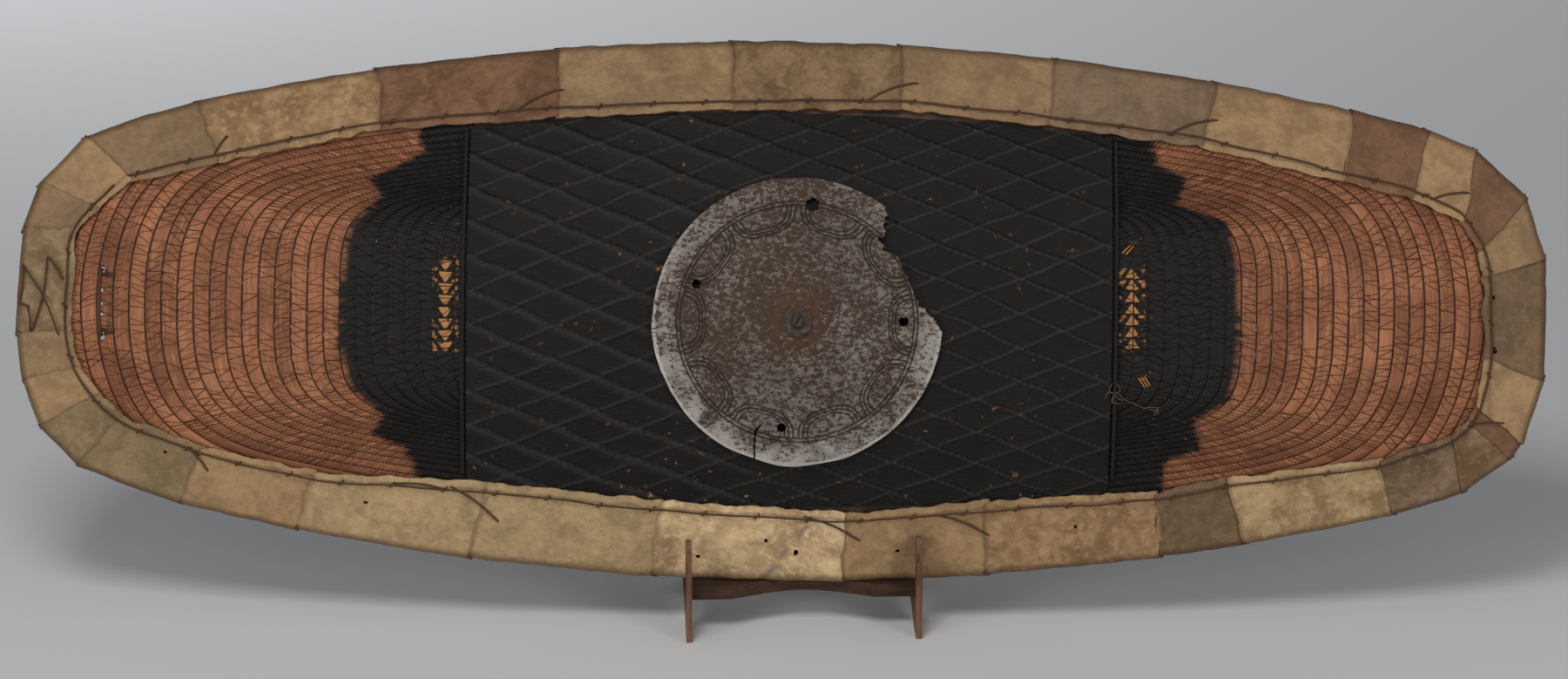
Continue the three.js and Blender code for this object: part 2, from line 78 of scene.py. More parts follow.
class Value:
    """A socket of a finish. An expression on values adds its Math nodes."""

    def __init__(self, finish, socket):
        self.finish = finish
        self.socket = socket

    def join(self, operation, *parts):
        """A Math node of that operation on its parts, values or numbers."""
        return self.finish.node("ShaderNodeMath", {"operation": operation}, dict(enumerate(parts)))

    def __add__(self, other):
        return self.join("ADD", self, other)

    def __sub__(self, other):
        return self.join("SUBTRACT", self, other)

    def __rsub__(self, other):
        return self.join("SUBTRACT", other, self)

    def __mul__(self, other):
        return self.join("MULTIPLY", self, other)

    def __pow__(self, other):
        return self.join("POWER", self, other)

    __radd__ = __add__
    __rmul__ = __mul__

    def absolute(self):
        return self.join("ABSOLUTE", self)

    def fraction(self):
        return self.join("FRACT", self)

    def between(self, low, high):
        """0 below low, 1 above high, and a smooth step in between (falling where low is above high)."""
        values = {"Value": self, "From Min": low, "From Max": high}
        return self.finish.node("ShaderNodeMapRange", {"interpolation_type": "SMOOTHSTEP"}, values)


class Finish:
    """A procedural material: one principled shader and the nodes that feed it."""

    def __init__(self, name, **constants):
        self.material = bpy.data.materials.new(name)
        self.material.use_nodes = True
        self.tree = self.material.node_tree
        self.shader = self.tree.nodes["Principled BSDF"]
        for socket, value in constants.items():
            self.shader.inputs[socket.replace("_", " ")].default_value = value

    def node(self, kind, settings, values, output=0):
        """Any other node: its type, its settings, and a value or a number for each socket."""
        made = self.tree.nodes.new(kind)
        for name, value in settings.items():
            setattr(made, name, value)
        for name, value in values.items():
            if isinstance(value, Value):
                self.tree.links.new(value.socket, made.inputs[name])
            else:
                made.inputs[name].default_value = value
        return Value(self, made.outputs[output])

    def place(self, stretch=(1, 1, 1)):
        """Object coordinates in millimetres, drawn out along an axis by a smaller stretch."""
        source = self.node("ShaderNodeTexCoord", {}, {}, "Object")
        return self.node("ShaderNodeMapping", {}, {"Vector": source, "Scale": [1000 * s for s in stretch]})

    def attribute(self, name):
        """The number that the mesh holds under that name at each point."""
        return self.node("ShaderNodeAttribute", {"attribute_name": name}, {}, "Fac")

    def noise(self, place, size, detail=3, roughness=0.55, distortion=0.0):
        """Smooth noise from 0 to 1 whose lumps are size millimetres wide."""
        values = {"Vector": place, "Scale": 1 / size, "Detail": detail, "Roughness": roughness}
        return self.node("ShaderNodeTexNoise", {}, {**values, "Distortion": distortion})

    def mix(self, factor, first, second):
        """From the first colour at factor 0 to the second at factor 1."""
        settings = {"data_type": "RGBA", "clamp_factor": True}
        colours = [c if isinstance(c, Value) else (*c, 1) for c in (first, second)]
        return self.node("ShaderNodeMix", settings, {0: factor, 6: colours[0], 7: colours[1]}, 2)

    def set(self, **links):
        """Links values to the shader's own sockets."""
        for socket, value in links.items():
            self.tree.links.new(value.socket, self.shader.inputs[socket.replace("_", " ")])

    def bump(self, height, depth):
        """Raises the surface by height (0 to 1) times depth millimetres."""
        values = {"Height": height, "Distance": depth / 1000, "Strength": 1.0}
        self.set(Normal=self.node("ShaderNodeBump", {}, values))


def floor_finish():
    """A pale, slightly blue floor with wide faint clouds."""
    finish = Finish("pale_floor", Roughness=0.7)
    cloud = finish.noise(finish.place(), 900, 2)
    finish.set(Base_Color=finish.mix(cloud, (0.512, 0.522, 0.537), (0.537, 0.547, 0.562)))
    return finish.material


floor_mesh.materials.append(floor_finish())


def lamp(name, place, target, size, power, tint=(1, 1, 1)):
    """A soft square lamp that faces its target."""
    data = bpy.data.lights.new(name, "AREA")
    data.size, data.energy, data.color = size, power, tint
    made = bpy.data.objects.new(name, data)
    bpy.context.scene.collection.objects.link(made)
    made.location = place
    towards = Vector(target) - Vector(place)
    made.rotation_euler = towards.to_track_quat("-Z", "Y").to_euler()


lamp("lamp_above", (-0.5, -1.9, 2.9), (0, 0, 0.2), 1.0, 56, (1, 0.97, 0.93))
lamp("lamp_left", (-2.3, -2.4, 0.75), (0, 0, 0.25), 0.9, 40, (1, 0.97, 0.92))
lamp("lamp_right", (2.2, -2.5, 0.8), (0, 0, 0.25), 0.9, 40, (1, 0.97, 0.92))
lamp("lamp_behind", (-1.7, 2.6, 2.6), (-1.6, 5.6, 0), 2.2, 98)
world = bpy.data.worlds.new("room")
bpy.context.scene.world = world
world.use_nodes = True
world.node_tree.nodes["Background"].inputs["Color"].default_value = (0.93, 0.96, 1, 1)
world.node_tree.nodes["Background"].inputs["Strength"].default_value = 0.28

# The woven body: a board of cane strips, one inside the next, on a backing of the same cane.
# Here is the backing, which shows as dark lines between the strips and as the plain back of the
# shield; its front is painted near black as the shade in the gaps between the strips. Daylight comes
# through small gaps where the binding has gone.
CROSS_RADIUS, LENGTH_RADIUS = 340, 4225
BOW_RADIUS = 2205
RIM = (649, 230, 23, 2.47)  # reach, height, end power and corner power of the bowed oval
INNER = (594, 165, 15.5, 4.3)
STRIPS = 23
FIRST_RING = {-1: 592, 1: 580}  # how far the outermost strip reaches to the left and to the right
STRIP_WIDTH = {-1: 13.8, 1: 13.0}
BODY_BACK, BACKING_LIFT = -8, -1.9
BACK_SWELL = 0.9  # how far each strip bulges on the back


def dome(x, y):
    """The dome's height: minus x squared over twice one radius, minus y squared over twice the other."""
    return -x**2 / (2 * LENGTH_RADIUS) - y**2 / (2 * CROSS_RADIUS)


def on_dome(x, y, lift):
    """Points over (x, y) that stand off the dome by lift, square to it."""
    x, y, lift = np.broadcast_arrays(np.asarray(x, float), y, lift)
    outwards = np.stack([x / LENGTH_RADIUS, y / CROSS_RADIUS, np.ones_like(x)], -1)
    outwards /= np.linalg.norm(outwards, axis=-1, keepdims=True)
    return np.stack([x, y, dome(x, y)], -1) + outwards * lift[..., None]


def oval_height(oval, x):
    """A side arc's height over the middle line, times the rounding of the two blunt ends."""
    reach, height, end_power, corner_power = oval
    rounding = np.clip(1 - np.abs(x / reach) ** end_power, 0, 1) ** (1 / corner_power)
    return (height - x**2 / (2 * BOW_RADIUS)) * rounding


def run_along(points):
    """The distance along a path of points, which is 0 at its first point."""
    return np.concatenate([[0], np.cumsum(np.linalg.norm(np.diff(points, axis=0), axis=1))])


def read_path(points, run, where):
    """The places on a path at the distances given in where."""
    return np.stack([np.interp(where, run, column) for column in points.T], -1)


def oval_quarter(oval, count):
    """Evenly spaced (x, y) from the middle of an end to the middle of a long side.

    Near the end x follows from the rounding: reach times (1 - part^corner)^(1 / end)."""
    reach, _, end_power, corner_power = oval
    part = np.linspace(0, 0.97, 300)
    end_x = reach * (1 - part**corner_power) ** (1 / end_power)
    x = np.concatenate([end_x, np.linspace(end_x[-1], 0, 300)[1:]])
    y = oval_height(oval, x)
    y[0] = 0
    path = np.stack([x, y], -1)
    run = run_along(path)
    return read_path(path, run, np.linspace(0, run[-1], count)).T


def ring_oval(k, side):
    """Strip edge number k from the border inwards, on the left (-1) or right (1) end."""
    reach = FIRST_RING[side] - STRIP_WIDTH[side] * k
    return (reach, 75 + 138 * math.exp(-max(k, -0.2) / 13.75), 16, 1.97 + 0.175 * k)


def whole_loop(right, left, count):
    """A closed loop of 4 times count points, anticlockwise from the right end, from two ovals."""
    rx, ry = oval_quarter(right, count + 1)
    lx, ly = oval_quarter(left, count + 1)
    x = np.concatenate([rx[:-1], -lx[::-1][:-1], -lx[:-1], rx[::-1][:-1]])
    y = np.concatenate([ry[:-1], ly[::-1][:-1], -ly[:-1], -ry[::-1][:-1]])
    return np.stack([x, y], -1)


def plate_faces(shape, keep, wrap):
    """Faces of a plate between two grids of points, with a wall round every edge of what is kept.

    Point (i, j) of the front grid has number i*m + j, and its partner behind it n*m more. Front faces run
    i then j, back faces the other way round, and walls stand between a kept cell and a missing one."""
    n, m = shape
    front = np.arange(n * m).reshape(n, m)
    if wrap:
        front = np.vstack([front, front[:1]])

    def wall(first, second, where):
        return np.stack([first, second, second + n * m, first + n * m], -1)[where]

    a, b, c, d = front[:-1, :-1], front[1:, :-1], front[1:, 1:], front[:-1, 1:]
    faces = [np.stack([a, b, c, d], -1)[keep], np.stack([a, d, c, b], -1)[keep] + n * m]
    along = np.pad(keep, ((1, 1), (0, 0)), mode="wrap" if wrap else "constant")
    rows = front[:-1] if wrap else front
    starts, ends = (along[1:] & ~along[:-1])[:len(rows)], (along[:-1] & ~along[1:])[:len(rows)]
    faces += [wall(rows[:, :-1], rows[:, 1:], starts), wall(rows[:, 1:], rows[:, :-1], ends)]
    across = np.pad(keep, ((0, 0), (1, 1)))
    starts, ends = across[:, 1:] & ~across[:, :-1], across[:, :-1] & ~across[:, 1:]
    faces += [wall(front[1:], front[:-1], starts), wall(front[:-1], front[1:], ends)]
    return np.concatenate(faces)


def piece(name, points, faces, material, replaces=(), attributes=None, poles=False):
    """Puts a closed surface into the scene: points in the shield's frame, faces as rows of point numbers.

    faces may be a list of such arrays, one of triangles and one of quads. Poles are merged to one point.
    An attribute with one value for each point of a plate's front is repeated for its back."""
    faces = faces if isinstance(faces, list) else [faces]
    used, numbers = np.unique(np.concatenate([f.ravel() for f in faces]), return_inverse=True)
    points = np.asarray(points, float).reshape(-1, 3)
    given = len(points)
    points = to_room(points[used])
    corners = np.concatenate([np.full(len(f), f.shape[1]) for f in faces])
    mesh = bpy.data.meshes.new(name)
    mesh.vertices.add(len(used))
    mesh.vertices.foreach_set("co", points.ravel())
    mesh.loops.add(len(numbers))
    mesh.loops.foreach_set("vertex_index", numbers.ravel().astype(np.int32))
    mesh.polygons.add(len(corners))
    first_corners = np.concatenate([[0], np.cumsum(corners)[:-1]])
    mesh.polygons.foreach_set("loop_start", first_corners.astype(np.int32))
    mesh.update(calc_edges=True)
    for key, values in (attributes or {}).items():
        layer = mesh.attributes.new(key, "FLOAT", "POINT")
        layer.data.foreach_set("value", np.resize(values, given)[used].astype(np.float32))
    if poles:
        shape = bmesh.new()
        shape.from_mesh(mesh)
        bmesh.ops.remove_doubles(shape, verts=shape.verts, dist=1e-6)
        shape.to_mesh(mesh)
        shape.free()
    mesh.shade_smooth()
    mesh.set_sharp_from_angle(angle=math.radians(50))
    mesh.materials.append(material)
    made = bpy.data.objects.new(name, mesh)
    bpy.context.scene.collection.objects.link(made)
    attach(made, "root")
    if replaces:
        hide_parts(*replaces)


def lumps(x, y, size, seed, octaves=3):
    """Smooth noise between about -1 and 1: a sum of sine waves in random directions, seeded."""
    draw = np.random.default_rng(seed)
    total = np.zeros(np.broadcast(x, y).shape)
    for octave in range(octaves):
        for _ in range(5):
            angle, phase = draw.uniform(0, 2 * math.pi, 2)
            pitch = size * draw.uniform(0.7, 1.5) / 2**octave
            wave = np.sin((x * math.cos(angle) + y * math.sin(angle)) * 2 * math.pi / pitch + phase)
            total += wave / 2**octave
    return total / 4


LOOP_COUNT = 224  # points in a quarter of the backing's loops
loop_levels = [k + part for k in range(STRIPS) for part in (0.95, 0.05)][1:] + [STRIPS]
loop_levels = sorted(set([0.05, 1.42] + loop_levels))
CANE_RIM = (RIM[0] - 9, RIM[1] - 9, RIM[2], RIM[3])
backing_loops = [whole_loop(CANE_RIM, CANE_RIM, LOOP_COUNT)]
backing_loops += [whole_loop(ring_oval(k, 1), ring_oval(k, -1), LOOP_COUNT) for k in loop_levels]
backing_loops += [backing_loops[-1] * part for part in (0.6, 0.25, 0)]
backing = np.stack(backing_loops, 1)
levels = np.array([-0.6] + loop_levels + [STRIPS + 1, STRIPS + 2, STRIPS + 3])
ring_part = np.where(levels > STRIPS, 0.5, np.clip(levels, 0, STRIPS) % 1)
backing_front = on_dome(backing[..., 0], backing[..., 1], BACKING_LIFT)
slope = np.sqrt(1 + (backing[..., 0] / LENGTH_RADIUS) ** 2 + (backing[..., 1] / CROSS_RADIUS) ** 2)
backing_back = backing_front.copy()
backing_back[..., 2] += (BODY_BACK - BACKING_LIFT + BACK_SWELL * np.sin(math.pi * ring_part)) * slope

# The gaps that let light through: in the joint lines between strips, thickest at the corners.
draw = np.random.default_rng(4)
keep_backing = np.ones((4 * LOOP_COUNT, len(levels) - 1), bool)
cell_x, cell_y = np.abs(backing[:, :-1]).transpose(2, 0, 1)
is_joint = np.broadcast_to(np.isclose(np.diff(levels), 0.1, atol=0.01), keep_backing.shape)
corner = np.clip((cell_y - 60) / 90, 0, 1) * (cell_x > 290) * (cell_x < 600)
near_left_end = (backing[:, :-1, 0] < -552) & (cell_y < 105)
undyed = np.clip((cell_x - 375) / 30, 0.05, 1)
chance = (0.10 + 0.36 * corner) * undyed + 0.45 * near_left_end
keep_backing[is_joint & (cell_x > 280) & (draw.random(keep_backing.shape) < chance)] = False

# Under the loop at the left end five square holes go right through, between the first two strips.
# Each has the y of its middle and half its height.
LOOP_HOLES = [(27, 4.2), (10, 2.2), (-1, 2.2), (-10.5, 2.4), (-27.5, 4.4)]


def in_loop_hole(y):
    """True where y is less than half a hole's height from the hole's middle."""
    return np.max([(half - np.abs(y - middle)) > 0 for middle, half in LOOP_HOLES], axis=0)


middle_y = (backing[:, :-1, 1] + np.roll(backing, -1, 0)[:, :-1, 1]) / 2
hole_levels = (levels[:-1] > 0.9) & (levels[:-1] < 1.4)
keep_backing[hole_levels & (backing[:, :-1, 0] < -500) & in_loop_hole(middle_y)] = False


def backing_finish():
    """Plain brown cane on the back, with a dark line between its strips; near black painted shade in front.
    """
    finish = Finish("cane_backing", Roughness=0.75)
    place = finish.place()
    tone = finish.noise(place, 30, 4)
    strip = finish.attribute("ring_part")
    shade = strip.between(0.0, 0.12) * strip.between(1.0, 0.88)
    back_cane = finish.mix(tone, (0.10, 0.052, 0.030), (0.21, 0.115, 0.066))
    # Painted shade: the front shows only in the gaps between the strips, so it is near black.
    face = finish.mix(tone.between(0.4, 0.6), (0.016, 0.009, 0.006), (0.060, 0.027, 0.016))
    joined = finish.mix(shade, face, back_cane)
    finish.set(Base_Color=finish.mix(finish.attribute("is_back"), face, joined))
    finish.bump(finish.noise(finish.place((1, 0.2, 0.2)), 3, 3), 0.4)
    return finish.material


BODY_PARTS = [f"woven_cane_{column}_{row}"
              for column in ("left", "middle", "right") for row in ("lower", "upper")]
ring_values = np.broadcast_to(ring_part, backing.shape[:2])
piece("cane_backing", np.stack([backing_front, backing_back]),
      plate_faces(backing.shape[:2], keep_backing, True), backing_finish(), BODY_PARTS,
      attributes={"ring_part": ring_values, "is_back": np.repeat([0.0, 1.0], ring_values.size)}, poles=True)

# The cane strips: flat split canes, each bent into a long loop round the shield and laid inside the last
# one. They show at the two ends, red-brown there and dyed black beside the centre panel.
PANEL_EDGE = {-1: -264, 1: 276}
LEFT_DYE = [(-146, -307), (-120, -316), (-109, -343), (-91, -336), (-69, -363), (-36, -372), (15, -372),
            (66, -365), (92, -338), (107, -348), (130, -303), (141, -309)]  # y, x of the dye's outer edge
RIGHT_DYE = [(-138, 323), (-123, 324), (-112, 355), (-90, 347), (-71, 376), (-27, 385), (31, 381),
             (74, 375), (81, 367), (93, 331), (115, 339), (126, 316), (144, 312)]


def dye_at(x, y):
    """1 where a point is nearer the middle than the dye's outer edge at its height, 0 outside it."""
    left = np.interp(y, *zip(*LEFT_DYE))
    right = np.interp(y, *zip(*RIGHT_DYE))
    inside = np.where(x < 0, x - left, right - x) + 2.5 * lumps(x, y, 9, 31)
    return np.clip(inside / 3 + 0.5, 0, 1)


YELLOW_REACH, YELLOW_SHIFT, YELLOW_PITCH = 287.5, 6.5, 9.8


def yellow_at(x, y):
    """1 in the two worn bands beside the panel where pale cane shows between the black stitches."""
    bands = ((-281, 12, 1, 39), (294, 12, 4, 36))  # middle x, half width, middle y, half height
    ragged = 5 * lumps(x, y, 11, 33)
    inside = [np.minimum(w - np.abs(x - mx), h - np.abs(y - my)) for mx, w, my, h in bands]
    return np.clip((np.maximum(*inside) + ragged) / 2, 0, 1)


def strip_frame(k, side, count=90):
    """Both edges of strip k on one end as two rows of (x, y), from below the shield's middle line to above
    it, and the distance along the strip, which is 0 on the middle line."""
    edges = []
    for level in (k, k + 1):
        x, y = oval_quarter(ring_oval(level, side), 2 * count)
        edges.append(np.stack([np.concatenate([x[::-1], x[1:]]), np.concatenate([-y[::-1], y[1:]])], -1))
    middle = (edges[0] + edges[1]) / 2
    run = run_along(middle)
    run -= run[2 * count - 1]
    shown = middle[:, 0] > abs(PANEL_EDGE[side]) - 5
    even = np.linspace(run[shown][0], run[shown][-1], 2 * count)
    outer, inner = (read_path(edge, run, even) * (side, 1) for edge in edges)
    return outer, inner, even


def tube_faces(number):
    """Quads between each row of point numbers and the next, closed round the section."""
    turned = np.roll(number, -1, 1)
    return np.stack([number[:-1], number[1:], turned[1:], turned[:-1]], -1).reshape(-1, 4)


# The section of a strip, as part of its width and lift off the dome.
STRIP_SECTION = [(0.045, -1.8), (0.045, -0.5), (0.1, -0.05), (0.5, 0.2), (0.9, -0.1), (0.955, -0.6),
                 (0.955, -1.8)]
STRIP_ENDS = [np.array([(0, 1, 5, 6), (1, 2, 4, 5)]), np.array([(2, 3, 4)])]  # the faces that close it
HOLE_CUT = 0.38  # how much of the strip's width the holes under the loop take
strip_points, strip_faces, strip_data, frames = [], [], [], {}
draw = np.random.default_rng(11)
first = 0
for side in (-1, 1):
    for k in range(-2, STRIPS + 1):
        has_holes = (side, k) == (-1, 1)
        outer, inner, run = strip_frame(k, side, 330 if has_holes else 90)
        frames[side, k] = (outer, inner, run)
        part, lift = np.transpose(STRIP_SECTION)
        part_here = np.maximum(part, in_loop_hole(outer[:, 1:]) * has_holes * HOLE_CUT)[..., None]
        flat = outer[:, None] * (1 - part_here) + inner[:, None] * part_here
        x, y = flat[..., 0], flat[..., 1]
        n, m = x.shape
        strip_points.append(on_dome(x, y, lift + 0.25 * lumps(x, y, 60, 200 + k)).reshape(-1, 3))
        number = first + np.arange(n * m).reshape(n, m)
        ends = [np.concatenate([number[0][f], number[-1][f[:, ::-1]]]) for f in STRIP_ENDS]
        strip_faces.append([f[:, ::side] for f in (tube_faces(number), *ends)])
        tone = np.full((n, m), draw.random())
        run_and_part = np.broadcast_arrays(run[:, None], part)
        strip_data.append(np.stack([tone, *run_and_part, dye_at(x, y), yellow_at(x, y)]).reshape(5, -1))
        first += n * m

strip_quads = np.concatenate([part for rows, quads, _ in strip_faces for part in (rows, quads)])
strip_tips = np.concatenate([tips for _, _, tips in strip_faces])


def strip_finish():
    """Red-brown cane, lighter and darker from strip to strip and along each one, black where it is dyed,
    with painted shade along the two edges of each strip.
    """
    finish = Finish("split_cane", Specular_IOR_Level=0.12)
    place = finish.place()
    along, across = finish.attribute("along"), finish.attribute("across")
    grain_axes = {"X": along * 0.05, "Y": across * 6, "Z": finish.attribute("tone") * 90}
    grain_place = finish.node("ShaderNodeCombineXYZ", {}, grain_axes)
    grain = finish.noise(grain_place, 1, 4, 0.6)
    cloud = finish.noise(place, 55, 3)
    depth = finish.attribute("tone") * 0.20 + grain * 0.55 + cloud * 0.62
    brown = finish.mix(depth.between(0.42, 0.92), (0.118, 0.044, 0.022), (0.270, 0.110, 0.054))
    orange = finish.mix(grain.between(0.5, 0.8) * cloud.between(0.4, 0.65), brown, (0.35, 0.165, 0.080))
    # Painted shade: each strip darkens along its two edges, where it meets the next one.
    edge = across.between(0.12, 0.04) + across.between(0.88, 0.96)
    shaded = finish.mix(edge * 0.6, orange, (0.065, 0.027, 0.015))
    worn = finish.noise(place, 5, 4).between(0.62, 0.7) * finish.noise(place, 40, 2).between(0.5, 0.65)
    black = finish.mix(grain, (0.004, 0.0038, 0.0038), (0.014, 0.0125, 0.012))
    black = finish.mix(worn * 0.5, black, (0.10, 0.055, 0.030))
    room_x = finish.node("ShaderNodeSeparateXYZ", {}, {"Vector": place}, "X")
    is_right = room_x.join("GREATER_THAN", room_x, 0.0)
    aside = ((room_x - YELLOW_SHIFT).absolute() - YELLOW_REACH).absolute()
    rise = (along * (1 / YELLOW_PITCH)).fraction()
    width = (rise + is_right * (1 - rise * 2)) * 6.4 + 0.6
    chips = finish.noise(place, 8, 2)
    wedge = (width - aside).between(0.0, 0.9) * chips.between(0.30, 0.38)
    beyond = (aside - width).between(3.4, 4.3) * aside.between(11.5, 10.5)
    wedge = wedge + beyond * chips.between(0.49, 0.55)
    wedge = wedge * rise.between(0.05, 0.13) * rise.between(0.97, 0.89)
    black = finish.mix(wedge * finish.attribute("yellow") * 0.9, black, (0.33, 0.150, 0.048))
    finish.set(Base_Color=finish.mix(finish.attribute("dye"), shaded, black))
    finish.set(Roughness=grain * 0.3 + 0.46)
    finish.bump(grain, 0.5)
    return finish.material


strip_values = np.concatenate(strip_data, 1)
piece("cane_strips", np.concatenate(strip_points), [strip_quads, strip_tips], strip_finish(),
      attributes=dict(zip(("tone", "along", "across", "dye", "yellow"), strip_values)))

# The binding: thin cane and cord wound over each strip, in slanting stitches down the straight parts of
# the two ends and in close straight turns round the corners and along the sides.
STITCH_PITCH, TURN_PITCH = 8.4, 3.1
STITCH_WIDTH, TURN_WIDTH = 0.62, 0.75
STRAIGHT_PART = 0.60  # of a strip's height, where the slanting stitches are
LOST_STITCHES, LOST_TURNS = 0.10, 0.04
BAND_POINTS = 12  # four triangular sections


def strokes(side, k, start_run, start_part, end_run, end_part, width):
    """Thin bands over strip k, each a row of four triangular sections from one edge to the other.

    A band's points lie along the straight line between its two ends on the strip: part p of the way, at
    run = start + p * (end - start) and the same for the part of the width, lifted over the strip."""
    outer, inner, run = frames[side, k]
    p = np.array([0.0, 0.15, 0.85, 1.0])[None, :]
    lift = np.array([-1.0, 0.25, 0.2, -1.1])[None, :, None] + np.array([0.0, 0.55, 0.0])
    runs = start_run[:, None] + p * (end_run - start_run)[:, None]
    parts = (start_part[:, None] + p * (end_part - start_part)[:, None])[..., None]
    middle = read_path(outer, run, runs) * (1 - parts) + read_path(inner, run, runs) * parts
    way = middle[:, -1] - middle[:, 0]
    way /= np.linalg.norm(way, axis=-1, keepdims=True)
    aside = np.stack([-way[:, 1], way[:, 0]], -1)[:, None, None] * np.array([-0.5, 0, 0.5])[:, None]
    flat = middle[:, :, None] + aside * np.broadcast_to(width, len(way))[:, None, None, None]
    return on_dome(flat[..., 0], flat[..., 1], np.broadcast_to(lift, flat.shape[:-1]))


def stroke_faces(count):
    """The three sides and two end caps of each triangular band."""
    number = np.arange(count * BAND_POINTS).reshape(count, 4, 3)
    turned = np.roll(number, -1, 2)
    sides = np.stack([number[:, :-1], turned[:, :-1], turned[:, 1:], number[:, 1:]], -1).reshape(-1, 4)
    caps = np.concatenate([number[:, 0, ::-1], number[:, -1]])
    return [sides, caps]


def binding(side, seed):
    """All the stitches and turns on one end of the shield, as points and their tones."""
    draw = np.random.default_rng(seed)
    bands, tones = [], []
    for k in range(-2, STRIPS + 1):
        outer, inner, run = frames[side, k]
        straight = STRAIGHT_PART * ring_oval(k, side)[1]
        rows = np.arange(-straight, straight, STITCH_PITCH) + draw.uniform(0, 3)
        rows = rows + draw.normal(0, 1.0, len(rows))
        rows = rows[draw.random(len(rows)) > LOST_STITCHES]
        lean = draw.normal(0, 1.5, (2, len(rows)))
        outside, inside = np.zeros(len(rows)), np.ones(len(rows))
        width = STITCH_WIDTH * draw.uniform(0.6, 1.5, len(rows))
        up = 1 if (k % 2) else -1
        bands.append(strokes(side, k, rows, outside, rows + lean[0], inside, width))
        back_again = rows + up * (STITCH_PITCH - 1) + lean[1]
        bands.append(strokes(side, k, rows + up * 0.8, inside, back_again, outside, width * 0.85))
        tones.append(np.repeat(draw.random(2 * len(rows)), BAND_POINTS))
        for low, high in ((run[0], -straight), (straight, run[-1])):
            turns = np.arange(low + 2, high - 1, TURN_PITCH)
            turns = turns + draw.normal(0, 0.3, len(turns))
            x, y = read_path((outer + inner) / 2, run, turns).T
            seen = np.abs(y) < oval_height(INNER, x) + 3
            turns = turns[seen & (draw.random(len(turns)) > LOST_TURNS)]
            slant = draw.normal(0, 0.5, len(turns))
            width = TURN_WIDTH * draw.uniform(0.8, 1.3, len(turns))
            bands.append(strokes(side, k, turns, 0 * turns, turns + slant, 0 * turns + 1, width))
            tones.append(np.repeat(draw.random(len(turns)), BAND_POINTS))
    return np.concatenate([b.reshape(-1, 3) for b in bands]), np.concatenate(tones)


def binding_finish():
    """Thin dark brown cane, black where the strips are dyed."""
    finish = Finish("binding_cane", Roughness=0.7, Specular_IOR_Level=0.15)
    tone = finish.attribute("tone")
    brown = finish.mix(tone, (0.042, 0.018, 0.010), (0.150, 0.062, 0.032))
    finish.set(Base_Color=finish.mix(finish.attribute("dye"), brown, (0.006, 0.0055, 0.0055)))
    return finish.material


binding_material = binding_finish()
for side, name in ((-1, "left_binding"), (1, "right_binding")):
    points, tones = binding(side, 20 + side)
    piece(name, points, stroke_faces(len(points) // BAND_POINTS), binding_material,
          attributes={"tone": tones, "dye": dye_at(points[:, 0], points[:, 1])})

# The border: 32 patches of rawhide, each soaked, folded over the rim and stitched down, so that each laps
# over the next one. They dried uneven, in different tones, with small pierced holes. A joint between two
# patches is given by its place on the rim, as x or as y, and the x and y of its inner end.
TOP_JOINTS = [(-597, -552, 100), (-503, -479, 117), (-350, -343, 146), (-197, -194, 159),
              (-49, -47, 166), (95, 95, 169), (227, 218, 157), (364, 349, 141), (480, 469, 113),
              (543, 526, 101), (585, 570, 82)]
RIGHT_JOINTS = [(107, 585, 57), (55, 589, 36), (-48, 592, -30), (-101, 586, -71), (-116, 581, -82)]
BOTTOM_JOINTS = [(583, 567, -97), (524, 508, -118), (399, 379, -134), (327, 318, -147),
                 (179, 176, -157), (57, 59, -168), (-105, -97, -160), (-262, -243, -146),
                 (-409, -390, -140), (-507, -484, -120), (-596, -553, -95)]
LEFT_JOINTS = [(-108, -573, -77), (-70, -591, -55), (-29, -599, -27), (59, -596, 58), (98, -579, 77)]
HIDE_FRONT, HIDE_THICKNESS, HIDE_BACK, BACK_LEG = 3.2, 1.4, -11.2, 34
PANEL_LAP = 1.3  # how much higher a patch lies where it laps over the strips
SIDE_LAP = 4.2  # how much longer a patch is than the way between its joints
HIDE_CELL, HIDE_ROW = 2.6, 2.5  # the grid's steps along the rim and across the border
BONE, CREAM, PALE = (0.50, 0.365, 0.205), (0.345, 0.240, 0.128), (0.285, 0.180, 0.092)
TAN, DUN, BROWN = (0.235, 0.150, 0.078), (0.190, 0.122, 0.065), (0.160, 0.086, 0.047)
DEEP, GREY, OLIVE = (0.146, 0.093, 0.051), (0.175, 0.115, 0.071), (0.205, 0.142, 0.075)
# The tone of each patch, clockwise from the top left, and how mottled it is.
HIDE_TONES = [
    (DUN, 0.5), (PALE, 0.9), (BROWN, 0.7), (TAN, 0.5), (DUN, 0.9), (TAN, 0.4), (GREY, 0.5), (PALE, 0.4),
    (BROWN, 0.4), (PALE, 0.4), (BROWN, 0.4), (TAN, 0.4), (DEEP, 0.6), (PALE, 0.5), (BROWN, 0.3),
    (DUN, 0.9), (GREY, 0.8), (CREAM, 0.8), (DEEP, 0.5), (PALE, 0.9), (PALE, 0.5), (BONE, 0.9),
    (CREAM, 0.5), (CREAM, 0.6), (PALE, 0.5), (OLIVE, 0.4), (OLIVE, 0.6), (PALE, 0.4), (TAN, 0.5),
    (OLIVE, 0.9), (DUN, 0.4), (PALE, 0.3),
]
# Small holes that go through the hide: x, y and radius.
HIDE_HOLES = [(598, 18, 2.3), (600, -26, 2.3), (-68, -207, 2.6), (-11, -193, 2.0), (13, -203, 2.4),
              (-430, 158, 1.4), (-300, 178, 1.5), (-255, 186, 1.3), (-120, 196, 1.6), (20, 205, 1.4),
              (150, 190, 1.5), (300, 176, 1.6), (420, 152, 1.4), (560, 118, 1.5), (-520, -125, 1.6),
              (-350, -165, 1.7), (-180, -183, 1.5), (100, -200, 1.6), (250, -178, 1.5), (440, -150, 1.6),
              (545, -122, 1.5)]
